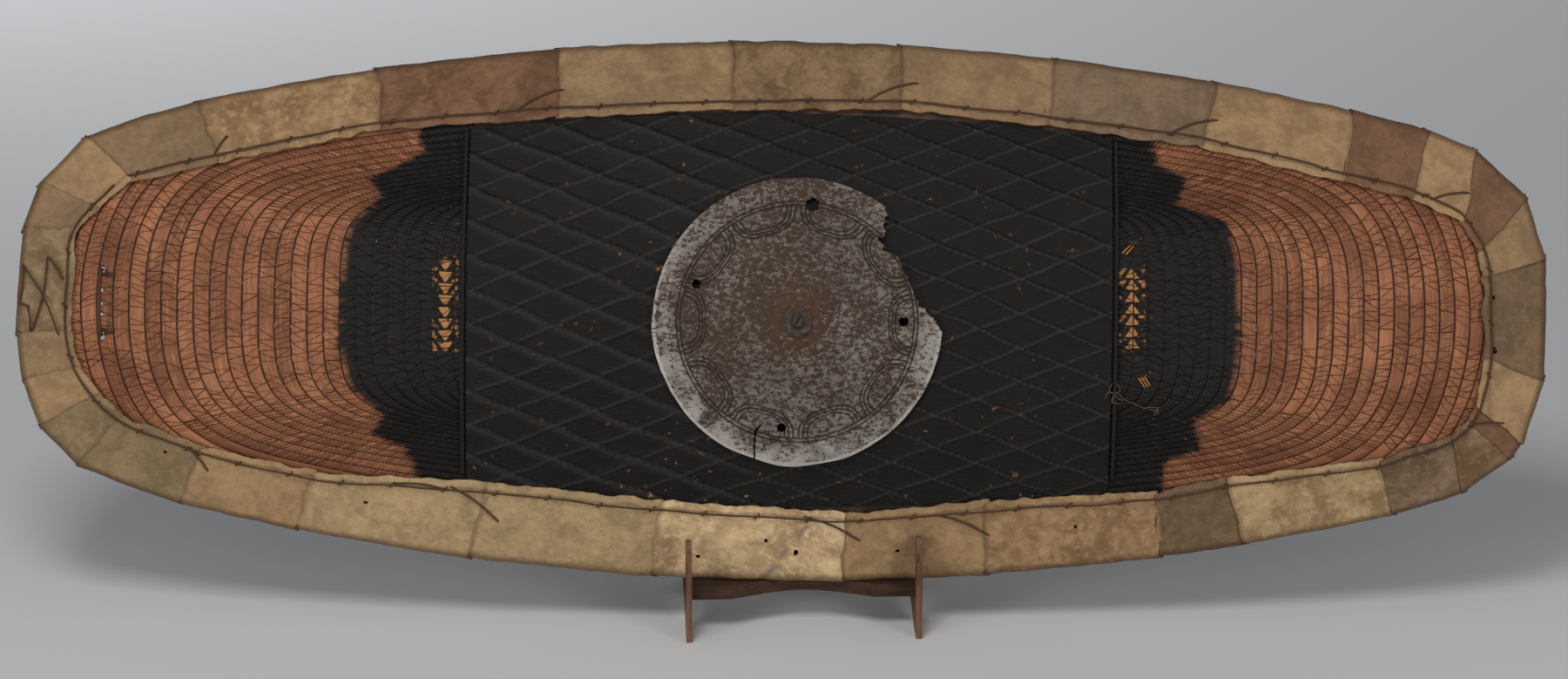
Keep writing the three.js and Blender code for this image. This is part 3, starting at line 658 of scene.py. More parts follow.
# Three short grey scrapes on the palest patch: both ends and the half width of each.
SCRAPES = [((21, -182), (15, -191), 1.1), ((6, -200), (1, -207), 1.5), ((-3, -215), (-15, -226), 2.2)]


def scrape_at(flat):
    """1 on the straight line between a scrape's two ends, falling to 0 just past its half width."""
    near = np.zeros(flat.shape[:-1])
    for start, end, half in SCRAPES:
        start, way = np.array(start, float), np.subtract(end, start)
        part = np.clip(((flat - start) * way).sum(-1) / (way**2).sum(), 0, 1)
        away = np.linalg.norm(flat - start - part[..., None] * way, axis=-1)
        near = np.maximum(near, np.clip((half - away) / 2 + 0.7, 0, 1))
    return near


def oval_reach(oval, y):
    """How far out the oval is at height y, found by halving."""
    near, far = 0.0, oval[0]
    for _ in range(40):
        middle = (near + far) / 2
        if oval_height(oval, middle) > abs(y):
            near = middle
        else:
            far = middle
    return near


def long_side(table):
    """The joints of the top or the bottom: each rim point lies where the rim has that x."""
    return [((x, math.copysign(oval_height(RIM, x), iy)), (ix, iy)) for x, ix, iy in table]


def blunt_end(table, side):
    """The joints of the left or the right end: each rim point lies where the rim has that y."""
    return [((side * oval_reach(RIM, y), y), (ix, iy)) for y, ix, iy in table]


# Each joint has its rim point and its inner point. They go clockwise from the top left.
joints = long_side(TOP_JOINTS) + blunt_end(RIGHT_JOINTS, 1)
joints = np.array(joints + long_side(BOTTOM_JOINTS) + blunt_end(LEFT_JOINTS, -1), float)


def pierce(flat, outline, reach):
    """Moves the points of a grid that lie within reach of a closed outline onto it, and says which cells
    are inside. A point's nearest place is its foot on the nearest edge, kept between the edge's ends."""
    start = np.asarray(outline, float)
    edge = np.roll(start, -1, 0) - start
    away = flat[..., None, :] - start
    part = np.clip((away * edge).sum(-1) / (edge**2).sum(-1), 0, 1)
    feet = start + part[..., None] * edge
    distance = np.linalg.norm(flat[..., None, :] - feet, axis=-1)
    nearest = distance.argmin(-1)
    foot = np.take_along_axis(feet, nearest[..., None, None], -2)[..., 0, :]
    gap = np.take_along_axis(distance, nearest[..., None], -1)
    crosses = (start[:, 1] > flat[..., None, 1]) != ((start + edge)[:, 1] > flat[..., None, 1])
    slope = np.where(np.abs(edge[:, 1]) < 1e-9, 1e-9, edge[:, 1])
    side = flat[..., None, 0] < start[:, 0] + (flat[..., None, 1] - start[:, 1]) * edge[:, 0] / slope
    inside = (crosses & side).sum(-1) % 2 == 1
    inner = inside[:-1, :-1].astype(int) + inside[1:, :-1] + inside[1:, 1:] + inside[:-1, 1:]
    moved = np.where(gap < reach, foot, flat)
    return moved, inner >= 3


def ragged_circle(x, y, radius, seed, count=12, rough=0.18):
    """A rough closed circle: each point's distance from the middle is the radius, give or take a little."""
    draw = np.random.default_rng(seed)
    turn = np.arange(count) * 2 * math.pi / count
    radius = radius * (1 + rough * draw.uniform(-1, 1, count))
    return np.stack([x + radius * np.cos(turn), y + radius * np.sin(turn)], -1)


def hide_patch(number):
    """One patch as a grid: along the rim from joint to joint, and from the inner edge over and behind it.

    v runs 0 to 1 over the face, 1 to 2 round the fold and 2 to 3 down the back leg. Place = inner edge plus
    v times the way to the rim; lift = the front's height, a half circle at the fold, plus wrinkles. Gives
    the outer and the under side, the cells that no hole takes away, and the numbers for the finish."""
    start, end = joints[number], joints[(number + 1) % len(joints)]
    length = np.linalg.norm(start[0] - end[0])
    width = np.linalg.norm(start[0] - start[1])
    across, fold, leg = max(12, round(width / HIDE_ROW)), 6, 6
    columns = max(8, round(length / HIDE_CELL))
    v = np.concatenate([np.linspace(0, 1, across), 1 + np.arange(1, fold) / fold, np.linspace(2, 3, leg)])
    u = np.linspace(0, 1, columns + 1)[:, None]
    u, v = np.broadcast_arrays(u, v)
    seed = 300 + number * 7
    face = np.clip(v, 0, 1)
    side_wobble = 1.6 * lumps(v * 40, 0 * v, 26, seed) / length
    along = (u - 0.5) * (1 + SIDE_LAP / length) + 0.5 + SIDE_LAP / 2 / length
    along = along + side_wobble * np.abs(2 * u - 1)
    rim, inner = (a + (b - a) * along[..., None] for a, b in zip(start, end))
    rim_x, rim_y = rim[..., 0], rim[..., 1]
    true_rim = np.stack([rim_x, np.sign(rim_y) * oval_height(RIM, np.clip(rim_x, -640, 640))], -1)
    if number % 16 < 10:  # along the top and the bottom a patch bows out about half as far as the rim
        blend = np.clip((600 - np.abs(rim[..., :1])) / 60, 0, 1) * 0.45
        rim = rim * (1 - blend) + true_rim * blend
    inner = inner + (rim - inner) / width * (1.5 * lumps(u * length, 0 * u, 30, seed + 1))[..., None]
    outward = (rim - inner) / np.linalg.norm(rim - inner, axis=-1, keepdims=True)
    turn = np.clip(v - 1, 0, 1) * math.pi
    edge_wave = 0.5 * lumps(u * length, 0 * v, 45, seed + 2, 2)
    inset = 4.0 + edge_wave + 1.6 * (u - 0.5) - 3.6 * np.sin(turn) * (v > 1)
    fold_line = rim - outward * inset[..., None]
    flat = np.where((v <= 1)[..., None], inner + (fold_line - inner) * face[..., None], fold_line)
    flat = flat - outward * (np.clip(v - 2, 0, 1) * (BACK_LEG - 6))[..., None]
    middle, half = (HIDE_FRONT + HIDE_BACK) / 2, (HIDE_FRONT - HIDE_BACK) / 2
    lift = np.where(v <= 1, HIDE_FRONT, middle + half * np.cos(turn))
    lift = np.where(v > 2, HIDE_BACK, lift)
    lap = np.clip(1 - face / 0.35, 0, 1)
    lift = lift + PANEL_LAP * lap * lap * (3 - 2 * lap)
    shingle = np.clip((u - 0.5) * 2, -1, 1) * 0.55
    outer_side = np.where(v <= 1.5, 1.0, -1.0)
    crease = 0.55 * lumps(flat[..., 0], flat[..., 1], 24, seed + 3, 3)
    crease = crease + 0.9 * lumps(u * length * 2.2, v * 9, 60, seed + 4, 2)
    pucker = 0.5 * np.sin(u * length / 44 * 2 * math.pi) * np.clip(1 - face / 0.25, 0, 1)
    curl = 0.8 * np.clip(np.abs(2 * u - 1) - 0.93, 0, 1) / 0.07 * (0.5 + lumps(v * 30, u, 20, seed + 5))
    swell = np.clip(v * 5, 0, 1) * np.clip((3 - v) * 5, 0, 1)
    lift = lift + outer_side * (shingle + (crease * 0.6 + 0.5) * swell + pucker + np.clip(curl, 0, 1.2))
    keep = np.ones((flat.shape[0] - 1, flat.shape[1] - 1), bool)
    plan = flat[:, :across]
    for x, y, radius in HIDE_HOLES:
        if np.min(np.hypot(plan[..., 0] - x, plan[..., 1] - y)) < 2.5:
            plan[:], gone = pierce(plan, ragged_circle(x, y, radius + 0.6, round(abs(x))), 1.5)
            keep[:, :across - 1] &= ~gone
    under_flat = flat - (HIDE_THICKNESS * np.sin(turn) * (v < 2))[..., None] * outward
    outer = on_dome(flat[..., 0], flat[..., 1], lift)
    under = on_dome(under_flat[..., 0], under_flat[..., 1], lift - HIDE_THICKNESS * np.cos(turn))
    return np.stack([outer, under]), keep, {"over": v, "beside": u, "scrape": scrape_at(flat)}


def hide_finish(number, tone, mottle):
    """Dried rawhide in one of a few tones: cloudy, mottled with darker stains and pale scraped spots,
    with painted shade at the fold over the rim, and darker at the side edges and under the lacing,
    partly dark joints and stitch marks and partly painted shade."""
    finish = Finish(f"rawhide_{number + 1:02d}", Specular_IOR_Level=0.15)
    shift = {"Vector": finish.place(), "Location": [number * 91, number * 37, 0]}
    place = finish.node("ShaderNodeMapping", {}, shift)
    cloud = finish.noise(place, 34, 4, 0.6, 0.6)
    speck = finish.noise(place, 6, 4, 0.62)
    fine = finish.noise(place, 1.5, 3, 0.6)
    v, u = finish.attribute("over"), finish.attribute("beside")
    darker = [c * f for c, f in zip(tone, (0.52, 0.46, 0.42))]
    paler = [c * f for c, f in zip(tone, (1.28, 1.32, 1.4))]
    stained = darker if mottle > 0.6 else [0.68 * c for c in tone]
    base = finish.mix(cloud.between(0.32, 0.66), stained, tone)
    base = finish.mix(speck.between(0.50, 0.68) * (mottle * 0.5 + 0.1), base, paler)
    base = finish.mix((1 - speck).between(0.52, 0.68) * (mottle * 0.5 + 0.12), base, darker)
    base = finish.mix(fine.between(0.54, 0.68) * 0.5, base, darker)
    # Painted shade at the fold over the rim; the darker side edges and the line under the lacing are partly
    # dark joints and stitch marks and partly painted shade.
    fold = v.between(0.90, 1.0) * v.between(1.5, 1.2) * 0.75
    side = u.between(0.965, 1.0) + u.between(0.03, 0.0)
    lip = v.between(0.15, 0.11) * v.between(0.07, 0.10) * 0.45
    base = finish.mix(finish.attribute("scrape") * (fine * 0.7 + 0.45), base, (0.150, 0.130, 0.105))
    shade_and_joint_marks = (fold + side * 0.5 + lip) * (cloud + 0.35)
    finish.set(Base_Color=finish.mix(shade_and_joint_marks, base, (0.055, 0.030, 0.017)))
    finish.set(Roughness=speck * 0.3 + 0.5)
    finish.bump(speck * 0.6 + fine * 0.25 + cloud * 0.8, 1.1)
    return finish.material


sides = (("top", 10), ("right", 6), ("bottom", 10), ("left", 6))
patch_names = [f"{side}_hide_patch_{i + 1:02d}" for side, count in sides for i in range(count)]
for number, (node, (tone, mottle)) in enumerate(zip(patch_names, HIDE_TONES)):
    patch, keep, places = hide_patch(number)
    piece(node + "_skin", patch, plate_faces(patch.shape[1:3], keep, False),
          hide_finish(number, tone, mottle), [node], places)

# The centre panel: a blackened skin over the strips, with thin cord under it that raises a lattice of
# lozenges. Ridges that fall to the right are lapped like scales on the left half; the others are thin.
LOZENGE_WIDTH, LOZENGE_HEIGHT = 70.6, 28.6
PANEL_FRONT, PANEL_BACK, PANEL_CELL = 1.9, 0.6, 2.15


def lattice(x, y):
    """The skin's rise: a lap that grows towards each falling ridge from below, and round cords on both.

    p and q count the ridges that fall and rise to the right, with y measured along the dome."""
    arc = CROSS_RADIUS * np.arcsin(y / CROSS_RADIUS)
    wander = 0.05 * lumps(x, y, 90, 41)
    p = x / LOZENGE_WIDTH + arc / LOZENGE_HEIGHT + wander + 0.18
    q = x / LOZENGE_WIDTH - arc / LOZENGE_HEIGHT - wander + 0.18
    left = np.clip(0.5 - (x - 12) / 160, 0, 1)
    fall = p % 1
    lap = fall**3 * np.clip((1 - fall) * 16, 0, 1)
    falling, rising = (np.exp(-((np.abs((g + 0.5) % 1 - 0.5) * LOZENGE_HEIGHT * 0.93 / 1.35) ** 2))
                       for g in (p, q))
    rise = 2.6 * lap * (0.25 + 0.75 * left) + 1.3 * falling * (1 - 0.6 * left) + 1.1 * rising
    return rise, np.maximum(rising, np.maximum(falling * (1 - 0.5 * left), lap * left)), fall


panel_x = np.arange(PANEL_EDGE[-1], PANEL_EDGE[1] + 1, PANEL_CELL)
panel_part = np.linspace(-1, 1, 152)
x, part = np.meshgrid(panel_x, panel_part, indexing="ij")
y = part * oval_height(INNER, x)
rise, ridge, fall = lattice(x, y)
near_edge = np.clip((1 - np.abs(part)) * 24, 0, 1)
panel_front = on_dome(x, y, PANEL_FRONT + rise * near_edge + 0.35 * lumps(x, y, 30, 42))
panel = np.stack([panel_front, on_dome(x, y, PANEL_BACK)])
low = np.clip((-y - 60) / 90, 0, 1) * np.clip((40 - x) / 200 + 0.4, 0, 1)  # worn most at the lower left
whole = np.ones((x.shape[0] - 1, x.shape[1] - 1), bool)


def panel_finish():
    """Blackened skin, greyer on the ridges, with fine slits along the strips and worn brown flecks,
    and painted shade in the crease just past each falling ridge.
    """
    finish = Finish("blackened_skin", Specular_IOR_Level=0.08)
    place = finish.place()
    ridge = finish.attribute("ridge")
    grain = finish.noise(place, 2.2, 4, 0.65)
    cloud = finish.noise(place, 60, 3)
    slits = finish.noise(finish.place((0.12, 1, 1)), 1.6, 2)
    base = finish.mix(grain * 0.6 + cloud * 0.4, (0.0030, 0.0030, 0.0034), (0.0135, 0.0125, 0.0120))
    raised = finish.mix(ridge.between(0.25, 0.95) * (grain + 0.25), base, (0.026, 0.0235, 0.022))
    # Painted shade: near black in the crease just past each ridge that falls to the right.
    crease_shaded = finish.mix(finish.attribute("fall").between(0.16, 0.03) * 0.8, raised, (0.002, 0.002, 0.002))
    often = finish.noise(place, 60, 2).between(0.45, 0.6) * 0.8 + finish.attribute("low") * 0.9
    flecks = finish.noise(place, 7, 4, 0.6).between(0.655, 0.70) * often
    worn = finish.mix(flecks * 0.8, crease_shaded, (0.22, 0.095, 0.038))
    finish.set(Base_Color=worn, Roughness=grain * 0.28 + 0.40)
    finish.bump(grain * 0.5 + slits * 0.8, 0.9)
    return finish.material


piece("lozenge_panel", panel, plate_faces(x.shape, whole, False), panel_finish(),
      ["centre_panel"], attributes={"ridge": ridge, "fall": fall, "low": low})

# The seams at the two sides of the panel: a thick cord of two strands, black as the skin, laid down
# each one and stitched to the strips beneath it.
SEAM_CORD, SEAM_OFFSET, SEAM_LIFT = 3.4, 3.2, 2.9


def twisted_cord(places, diameter, pitch, step, sides=8):
    """A cord of two strands along a path of 3-D points.

    The path is resampled every step; the section is a circle whose radius swells twice a turn, by
    1 + 0.16 cos(2 (angle - turn)), and the turn goes round once a pitch."""
    run = run_along(places)
    even = np.linspace(0, run[-1], max(3, round(run[-1] / step) + 1))
    middle = read_path(places, run, even)
    way = np.gradient(middle, axis=0)
    way /= np.linalg.norm(way, axis=1, keepdims=True)
    aside = np.cross(way, [0.0, 0.0, 1.0])
    aside /= np.linalg.norm(aside, axis=1, keepdims=True)
    upward = np.cross(aside, way)
    angle = np.arange(sides) * 2 * math.pi / sides
    turn = even[:, None] * 2 * math.pi / pitch
    radius = diameter / 2 * (0.9 + 0.16 * np.cos(2 * (angle - turn)))
    ring = np.cos(angle)[..., None] * aside[:, None] + np.sin(angle)[..., None] * upward[:, None]
    return middle[:, None] + radius[..., None] * ring


def cord_faces(count, sides, first=0):
    """Quads along the cord, and a fan of triangles that closes each end."""
    number = first + np.arange(count * sides).reshape(count, sides)
    fan = np.arange(1, sides - 1)
    start = np.stack([np.full_like(fan, number[0, 0]), number[0, fan], number[0, fan + 1]], -1)
    end = np.stack([np.full_like(fan, number[-1, 0]), number[-1, fan + 1], number[-1, fan]], -1)
    return tube_faces(number), np.concatenate([start, end])


def cords(name, runs, diameter, pitch, material, replaces=(), step=1.2, sides=8):
    """Several twisted cords as one piece."""
    points, tubes, caps, first = [], [], [], 0
    for places in runs:
        rings = twisted_cord(places, diameter, pitch, step, sides)
        tube, cap = cord_faces(len(rings), sides, first)
        points.append(rings.reshape(-1, 3))
        tubes.append(tube)
        caps.append(cap)
        first += len(rings) * sides
    faces = [np.concatenate(tubes), np.concatenate(caps)]
    piece(name, np.concatenate(points), faces, material, replaces)


def cord_finish(name, dark, light):
    """Dull cord: from its dark tone to its light one in fine hairs and soft clouds."""
    finish = Finish(name, Roughness=0.85, Specular_IOR_Level=0.2)
    place = finish.place()
    hair = finish.noise(place, 0.9, 3)
    cloud = finish.noise(place, 22, 2)
    finish.set(Base_Color=finish.mix(hair * 0.6 + cloud * 0.5, dark, light))
    finish.bump(hair, 0.3)
    return finish.material


seam_finish = cord_finish("seam_cord", (0.003, 0.003, 0.0035), (0.013, 0.012, 0.0115))
for side, node in ((-1, "left_seam_cord"), (1, "right_seam_cord")):
    seam_x = PANEL_EDGE[side] + side * SEAM_OFFSET
    seam_y = np.linspace(-oval_height(INNER, seam_x) + 10, oval_height(INNER, seam_x) - 3, 60)
    path = on_dome(seam_x, seam_y, SEAM_LIFT)
    cords(node + "_twist", [path], SEAM_CORD, 9, seam_finish, [node])

# The lacing: a dark twisted cord along the inner edge of the border, tied down every few fingers' widths.
# Its loose tails are stitched across the hide at the joints.
LACING, LACING_PITCH, LACING_LIFT = 1.75, 3.6, 6.0
LACING_PLACE = 0.885  # of the way from the rim to the inner end of each joint
TIE_SPACING = 44
TAILS = [((-482, 120), (-470, 141)), ((-228, 162), (-186, 183)), ((66, 173), (113, 192)),
         ((320, 148), (367, 164)), ((544, 98), (581, 105)), ((-501, -119), (-483, -141)),
         ((-327, -148), (-280, -153)), ((-279, -149), (-236, -181)), ((18, -171), (70, -193)),
         ((129, -168), (179, -187)), ((577, -90), (613, -87))]
lacing_material = cord_finish("dark_cord", (0.020, 0.010, 0.006), (0.085, 0.042, 0.023))
crossing = joints[:, 0] + (joints[:, 1] - joints[:, 0]) * LACING_PLACE
closed = np.concatenate([crossing, crossing[:1]])
corner_run = run_along(closed)
lacing_run = np.linspace(0, corner_run[-1] - 6, 700)
smooth = np.hanning(15) / np.hanning(15).sum()
padded = np.pad(read_path(closed, corner_run, lacing_run), ((7, 7), (0, 0)), mode="edge")
lacing_flat = np.stack([np.convolve(column, smooth, "valid") for column in padded.T], -1)
lacing_flat += 0.8 * np.stack([lumps(lacing_run, 0, 70, seed) for seed in (51, 52)], -1)
lacing_path = on_dome(*lacing_flat.T, LACING_LIFT)
cords("border_lacing_twist", [lacing_path], LACING, LACING_PITCH, lacing_material,
      ["border_lacing"])


def short_cord(start, end, lift, bend=0.06):
    """A cord laid between two places, bowed a little to one side, with its ends sunk into the hide."""
    part = np.linspace(0, 1, 14)
    start, end = np.array(start, float), np.array(end, float)
    way = end - start
    aside = np.array([-way[1], way[0]]) * bend
    flat = start + part[:, None] * way + np.sin(part * math.pi)[:, None] * aside
    sink = 3.0 * (np.abs(2 * part - 1) ** 8)
    return on_dome(*flat.T, lift - sink)


ties = []
for run in np.arange(12, lacing_run[-1], TIE_SPACING):
    middle = read_path(lacing_flat, lacing_run, run)
    ahead = read_path(lacing_flat, lacing_run, run + 2) - middle
    side = np.array([-ahead[1], ahead[0]]) / np.linalg.norm(ahead)
    ties.append(short_cord(middle - side * 2.2 - ahead, middle + side * 2.2 + ahead, LACING_LIFT + 1.0, 0))
tails = [short_cord(a, b, 5.4) for a, b in TAILS]
cords("lacing_tails", tails, 1.9, 4, lacing_material, step=1.1, sides=6)
cords("lacing_ties", ties, 1.3, 4, lacing_material, step=0.9, sides=6)
END_LACES = [((-641, 31), (-609, -28)), ((-620, 38), (-633, -25)), ((-620, 38), (-606, 18)),
             ((-641, 31), (-643, 1)), ((-645, -1), (-636, -4)), ((-636, -4), (-634, -25))]
end_laces = [short_cord(a, b, 6.2 + 0.9 * (i == 0)) for i, (a, b) in enumerate(END_LACES)]
cords("left_end_laces", end_laces, 2.0, 4.0, lacing_material, ["left_end_lacing"], 1.1, 6)

# At the foot of the right seam a cord has broken: its frayed end lies over the strips, with a few loose
# fibres at both ends.
fray_part = np.linspace(0, 1, 26)
fray_x = 278 + 39 * fray_part
fray_y = -65 - 9 * np.sin(2.2 * fray_part) - 4.5 * fray_part + 1.2 * lumps(fray_x, 0, 14, 71)
frayed = [on_dome(fray_x, fray_y, 3.4 + 0.8 * np.sin(fray_x / 3.1))]
draw = np.random.default_rng(72)
for x, y, reach in [(279, -66, 9)] * 6 + [(315, -78, 6)] * 3:
    turn, bend = draw.uniform(0, 2 * math.pi), draw.uniform(-0.5, 0.5)
    frayed.append(short_cord((x, y), (x + reach * math.cos(turn), y + reach * math.sin(turn)), 5.6, bend))
fibre_finish = cord_finish("frayed_fibre", (0.060, 0.038, 0.022), (0.20, 0.140, 0.080))
cords("frayed_cord", frayed, 0.5, 3, fibre_finish, step=0.9, sides=5)

# Beside the right seam a few stitches of the binding cane have lost their black dye. They show pale
# above and below the worn band.
PALE_STITCHES = [((284, 51), (291, 58)), ((287, 50), (293.5, 57)), ((299, -53), (304.5, -61)),
                 ((301.5, -52.5), (307, -60.5)), ((304, -52), (309, -59.5))]
stitches = [short_cord(a, b, 1.9, 0) for a, b in PALE_STITCHES]
pale_finish = cord_finish("undyed_cane", (0.20, 0.090, 0.030), (0.40, 0.195, 0.070))
cords("undyed_stitches", stitches, 1.5, 30, pale_finish, step=1.5, sides=6)

# The end loop: a thin twisted cane bent to a half ring over the outer strips at the left end, with its
# two ends held by small pegs.
part = np.linspace(0, 1, 60)
loop_y = 27 * np.cos(part * math.pi)
loop_rise = 2.4 + 9.2 * np.sin(part * math.pi) ** 0.55
loop_path = on_dome(-573, loop_y, loop_rise)
loop_finish = cord_finish("dark_cane", (0.016, 0.009, 0.006), (0.085, 0.045, 0.026))
cords("left_end_cane_loop", [loop_path], 3.7, 11, loop_finish, ["left_end_loop"])
pegs = [on_dome(np.linspace(-575, -563, 5), y, 1.9) for y in (23.5, -23.5)]
cords("loop_pegs", pegs, 3.4, 30, loop_finish, step=2)

# The boss: a disc of thin sheet iron hammered into a low cone, with a double ring and scallops engraved,
# four nail holes, and a torn bite at the upper right. It is rusted brown and worn to bright metal; towards
# the lower left and lower right the bright metal is partly painted highlight and floor reflection.
BOSS_CENTRE, BOSS_RADIUS, BOSS_THICKNESS = np.array([12.5, -9.6]), 120.5, 1.5
BOSS_RIM_LIFT = 5.6
BOSS_PROFILE = [(0, 24.6), (0.1, 24), (0.34, 16.5), (0.6, 8), (0.82, 2.4), (0.93, 0.6), (1, 0.4)]
BOSS_HOLES = [(12, 98, 6.4), (-84, 30.5, 4.2), (88.5, 1.5, 4.4), (-12, -88.5, 4.0)]
BOSS_TEAR = [(72, 100), (73, 92), (71, 83), (72, 73), (67, 71.5), (60, 70), (66, 69), (70, 66.5),
             (71.5, 64), (69.5, 60), (75, 59.2), (79, 58), (84, 54), (87, 46), (90, 39), (95, 30),
             (98, 23), (101, 12), (103.5, 13.5), (109, 8), (114, 2), (120, -5), (122, -11), (130, -11),
             (140, 110), (72, 110)]
CRACK = [(-35.4, -123), (-33.4, -112), (-34.2, -104), (-32.9, -92), (-23.5, -80), (-34.4, -90.5),
         (-35.7, -104), (-34.9, -112), (-37, -123)]
CRACK_TURNS = np.linspace(4.34, 4.47, 26)  # more points there, so that the crack can be narrow
RING_PART = 0.81  # where the double ring is, as part of the radius


def smooth_profile(table, where):
    """Heights from a short table, read along a smooth curve: linear steps averaged over a small reach."""
    places, heights = zip(*table)
    reach = np.linspace(-0.06, 0.06, 9)
    return sum(np.interp(np.abs(where + r), places, heights) for r in reach) / len(reach)


boss_part = np.concatenate([[0], np.linspace(0.02, 1, 74)])
boss_turn = np.sort(np.concatenate([np.arange(264) * 2 * math.pi / 264, CRACK_TURNS]))
turn, part = np.meshgrid(boss_turn, boss_part, indexing="ij")
boss_plan = BOSS_RADIUS * part[..., None] * np.stack([np.cos(turn), np.sin(turn)], -1)
boss_plan += (part**3 * 0.9 * lumps(boss_plan[..., 0], boss_plan[..., 1], 60, 61))[..., None]
keep_boss = np.ones((len(boss_turn), len(boss_part) - 1), bool)
wrapped = np.concatenate([boss_plan, boss_plan[:1]])
nail_holes = [ragged_circle(x, y, radius, round(abs(x)), 16, 0.10) for x, y, radius in BOSS_HOLES]
for outline in (BOSS_TEAR, CRACK, *nail_holes):
    wrapped, gone = pierce(wrapped, outline, 1.25)
    keep_boss &= ~gone
wrapped[-1] = wrapped[0]
boss_plan = wrapped[:-1]
x, y = boss_plan[..., 0], boss_plan[..., 1]
boss_radius = np.hypot(x, y) / BOSS_RADIUS
height = smooth_profile(BOSS_PROFILE, boss_radius) + BOSS_RIM_LIFT
height = height + 0.35 * lumps(x, y, 17, 62, 2) * np.clip(boss_radius * 4, 0, 1)  # hammer marks
height = height + lumps(x, y, 80, 63, 1) * boss_radius**4  # the rim waves
for ring in (RING_PART, RING_PART + 0.028):
    height = height - 0.45 * np.exp(-(((boss_radius - ring) * BOSS_RADIUS / 0.9) ** 2))  # its groove
place_xy = boss_plan + BOSS_CENTRE
boss_z = dome(place_xy[..., 0], place_xy[..., 1]) + height
boss = [np.concatenate([place_xy, (boss_z + lift)[..., None]], -1) for lift in (BOSS_THICKNESS, 0)]


def boss_finish():
    """Old sheet iron: brown rust in clouds, dark round the middle, worn to bare grey metal at the rim.
    Towards the lower left and lower right the bare metal is wider and brighter, partly wear and partly
    painted highlight and floor reflection, with a thin painted highlight along the lower edge.

    The double ring is engraved where the radius is near two values. Inside it hang ten scallops of three
    lines each. s is the way from a scallop's middle to its side and d the depth inside the ring, and a
    line is where (s^2.6 + d^2.6)^(1/2.6) has one of three values."""
    finish = Finish("old_sheet_iron", Specular_IOR_Level=0.2)
    place = finish.place()
    radius, angle = finish.attribute("radius"), finish.attribute("angle")
    sector = (angle * (10 / (2 * math.pi)) + 0.5).fraction()
    s = ((sector * 2 - 1) * 1.06).absolute()
    d = radius.join("MAXIMUM", (RING_PART - 0.01 - radius) * (1 / 0.17), 0.0)
    arch = (s**2.6 + d**2.6) ** (1 / 2.6)
    wobble = (finish.noise(place, 14, 2) - 0.5) * 0.10
    inside = radius.between(RING_PART, RING_PART - 0.01)
    lines = sum((arch - level + wobble).absolute().between(0.036, 0.010) * inside
                for level in (0.98, 0.85, 0.72))
    for ring in (RING_PART, RING_PART + 0.026):
        lines = lines + (radius - ring + wobble * 0.04).absolute().between(0.008, 0.002)
    engraved = finish.node("ShaderNodeClamp", {}, {"Value": lines})
    cloud = finish.noise(place, 60, 4, 0.55, 0.4)
    speck = finish.noise(finish.place((0.8, 1, 1.15)), 3.4, 5, 0.7, 0.5)
    fine = finish.noise(place, 1.3, 3, 0.6)
    across, up = finish.attribute("across"), finish.attribute("up")
    # Painted highlight: masks for the lower right and lower left, which face the bright floor, where more
    # bright bare metal stands for the highlights and reflection that fall there.
    lower_right_sheen = (across * 0.35 - up * 0.9).between(-0.5, 0.9)
    lower_left_sheen = (across * -0.6 - up * 0.6).between(-0.2, 0.7)
    rim = radius.between(0.74, 0.96)
    # A thin painted highlight along the rim's lower edge.
    edge = radius.between(0.974, 0.988) * (lower_right_sheen + lower_left_sheen) * 0.5
    patch = finish.noise(place, 17, 3, 0.6).between(0.36, 0.64)
    # Real wear at the rim, with more towards the lower sides as painted highlight.
    rubbed_and_sheen = rim * (lower_left_sheen * 0.34 + lower_right_sheen * 0.10 + 0.14) + lower_right_sheen * 0.36
    worn = rubbed_and_sheen * (patch * 0.9 + 0.45) + edge
    shine = worn * 0.15 - radius.between(0.40, 0.05) * 0.10
    bare = (speck + (cloud - 0.5) * 0.24 + (fine - 0.5) * 0.10 + shine).between(0.485, 0.60)
    rust = finish.mix(speck * 0.6 + fine * 0.4, (0.017, 0.0095, 0.0065), (0.060, 0.034, 0.0225))
    warm = radius.between(0.34, 0.04) * cloud.between(0.3, 0.6)
    rust = finish.mix(warm * 0.75, rust, (0.062, 0.024, 0.010))
    bright = worn * 0.75 + (fine - 0.5) * 0.6 + (cloud - 0.5) * 0.5
    metal = finish.mix(bright, (0.098, 0.083, 0.071), (0.35, 0.325, 0.302))
    skin = finish.mix(bare, rust, metal)
    finish.set(Base_Color=finish.mix(engraved * 0.8, skin, (0.014, 0.009, 0.007)))
    finish.set(Metallic=bare * 0.5, Roughness=0.66 - bare * 0.22 + (fine - 0.5) * 0.2)
    finish.bump(speck * 0.7 + fine * 0.35 - engraved * 0.8, 1.1)
    return finish.material


boss_places = {"radius": boss_radius, "angle": np.arctan2(y, x), "across": x / BOSS_RADIUS,
               "up": y / BOSS_RADIUS}
piece("boss_disc", boss, plate_faces(x.shape, keep_boss, True)[:, ::-1], boss_finish(), ["boss"],
      boss_places, poles=True)


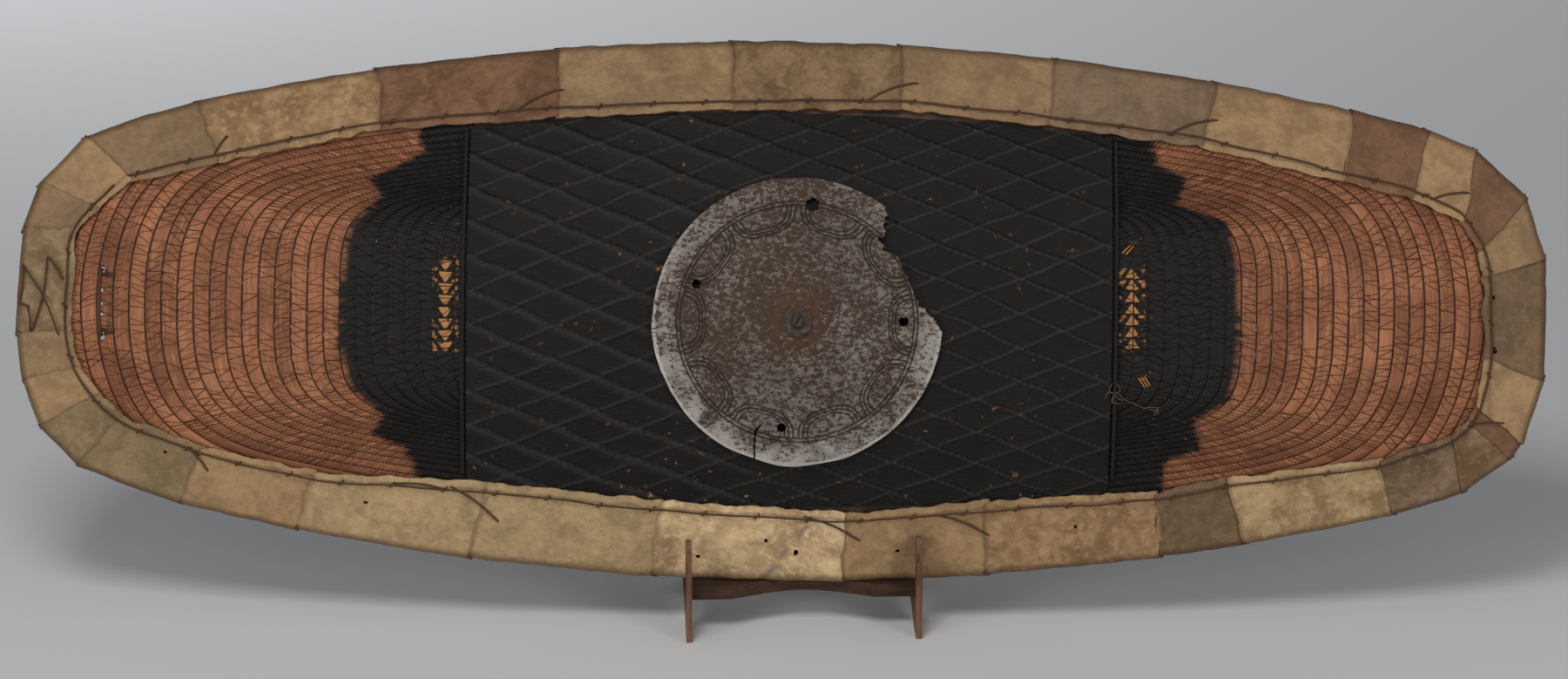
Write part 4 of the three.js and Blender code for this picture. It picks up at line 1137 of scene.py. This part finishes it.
# The washer and the stud on the middle of the boss: small iron fittings, rusted dark, which hold it.
# They are the solids themselves, as the stand's boards are, and only get their look here.
def recoat(node, material):
    """Gives a CAD solid that stays in the scene its look."""
    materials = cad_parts[node].data.materials
    materials.clear()
    materials.append(material)


def fitting_finish():
    """The washer and the stud: dark rusted iron with bright worn edges."""
    finish = Finish("rusted_fitting", Metallic=0.45, Roughness=0.55)
    speck = finish.noise(finish.place(), 4, 4, 0.65)
    worn = speck.between(0.45, 0.75)
    finish.set(Base_Color=finish.mix(worn, (0.024, 0.014, 0.010), (0.085, 0.064, 0.052)))
    finish.bump(speck, 0.5)
    return finish.material


fitting = fitting_finish()
recoat("boss_washer", fitting)
recoat("boss_stud", fitting)

# The stand, its seat and the grip behind the shield: thin hardwood boards, sawn and stained dark
# red-brown, rubbed pale along their edges. Each row has a node, the axis of its grain, the rub on its
# edges and how light its colour is. The seat's much darker colour is partly its stain and partly
# painted shade for the shadow under the shield.
BOARDS = [("left_side_board", 2, 0.45, 1.0), ("right_side_board", 2, 0.45, 1.0),
          ("seat_board", 0, 0.12, 0.35), ("back_grip", 0, 0.3, 0.7)]


def board_finish(name, along, edge_wear, depth):
    """Stained hardwood with its grain along one axis, and a paler rub on the edges."""
    finish = Finish(name, Specular_IOR_Level=0.12)
    stretch = [1.0, 1.0, 1.0]
    stretch[along] = 0.07
    grain = finish.noise(finish.place(stretch), 3.2, 5, 0.62, 0.5)
    cloud = finish.noise(finish.place(), 40, 3)
    bevel = finish.node("ShaderNodeNewGeometry", {}, {}, "Pointiness")
    light = [c * depth for c in (0.098, 0.044, 0.025)]
    base = finish.mix(grain.between(0.3, 0.7), (0.010, 0.0046, 0.0030), light)
    base = finish.mix(cloud.between(0.4, 0.75) * 0.5, base, light)
    rub = bevel.between(0.52, 0.62) * (grain * 0.8 + 0.1) * edge_wear
    finish.set(Base_Color=finish.mix(rub, base, (0.34, 0.20, 0.125)), Roughness=grain * 0.25 + 0.48)
    finish.bump(grain, 0.35)
    return finish.material


for node, *look in BOARDS:
    recoat(node, board_finish(node + "_wood", *look))
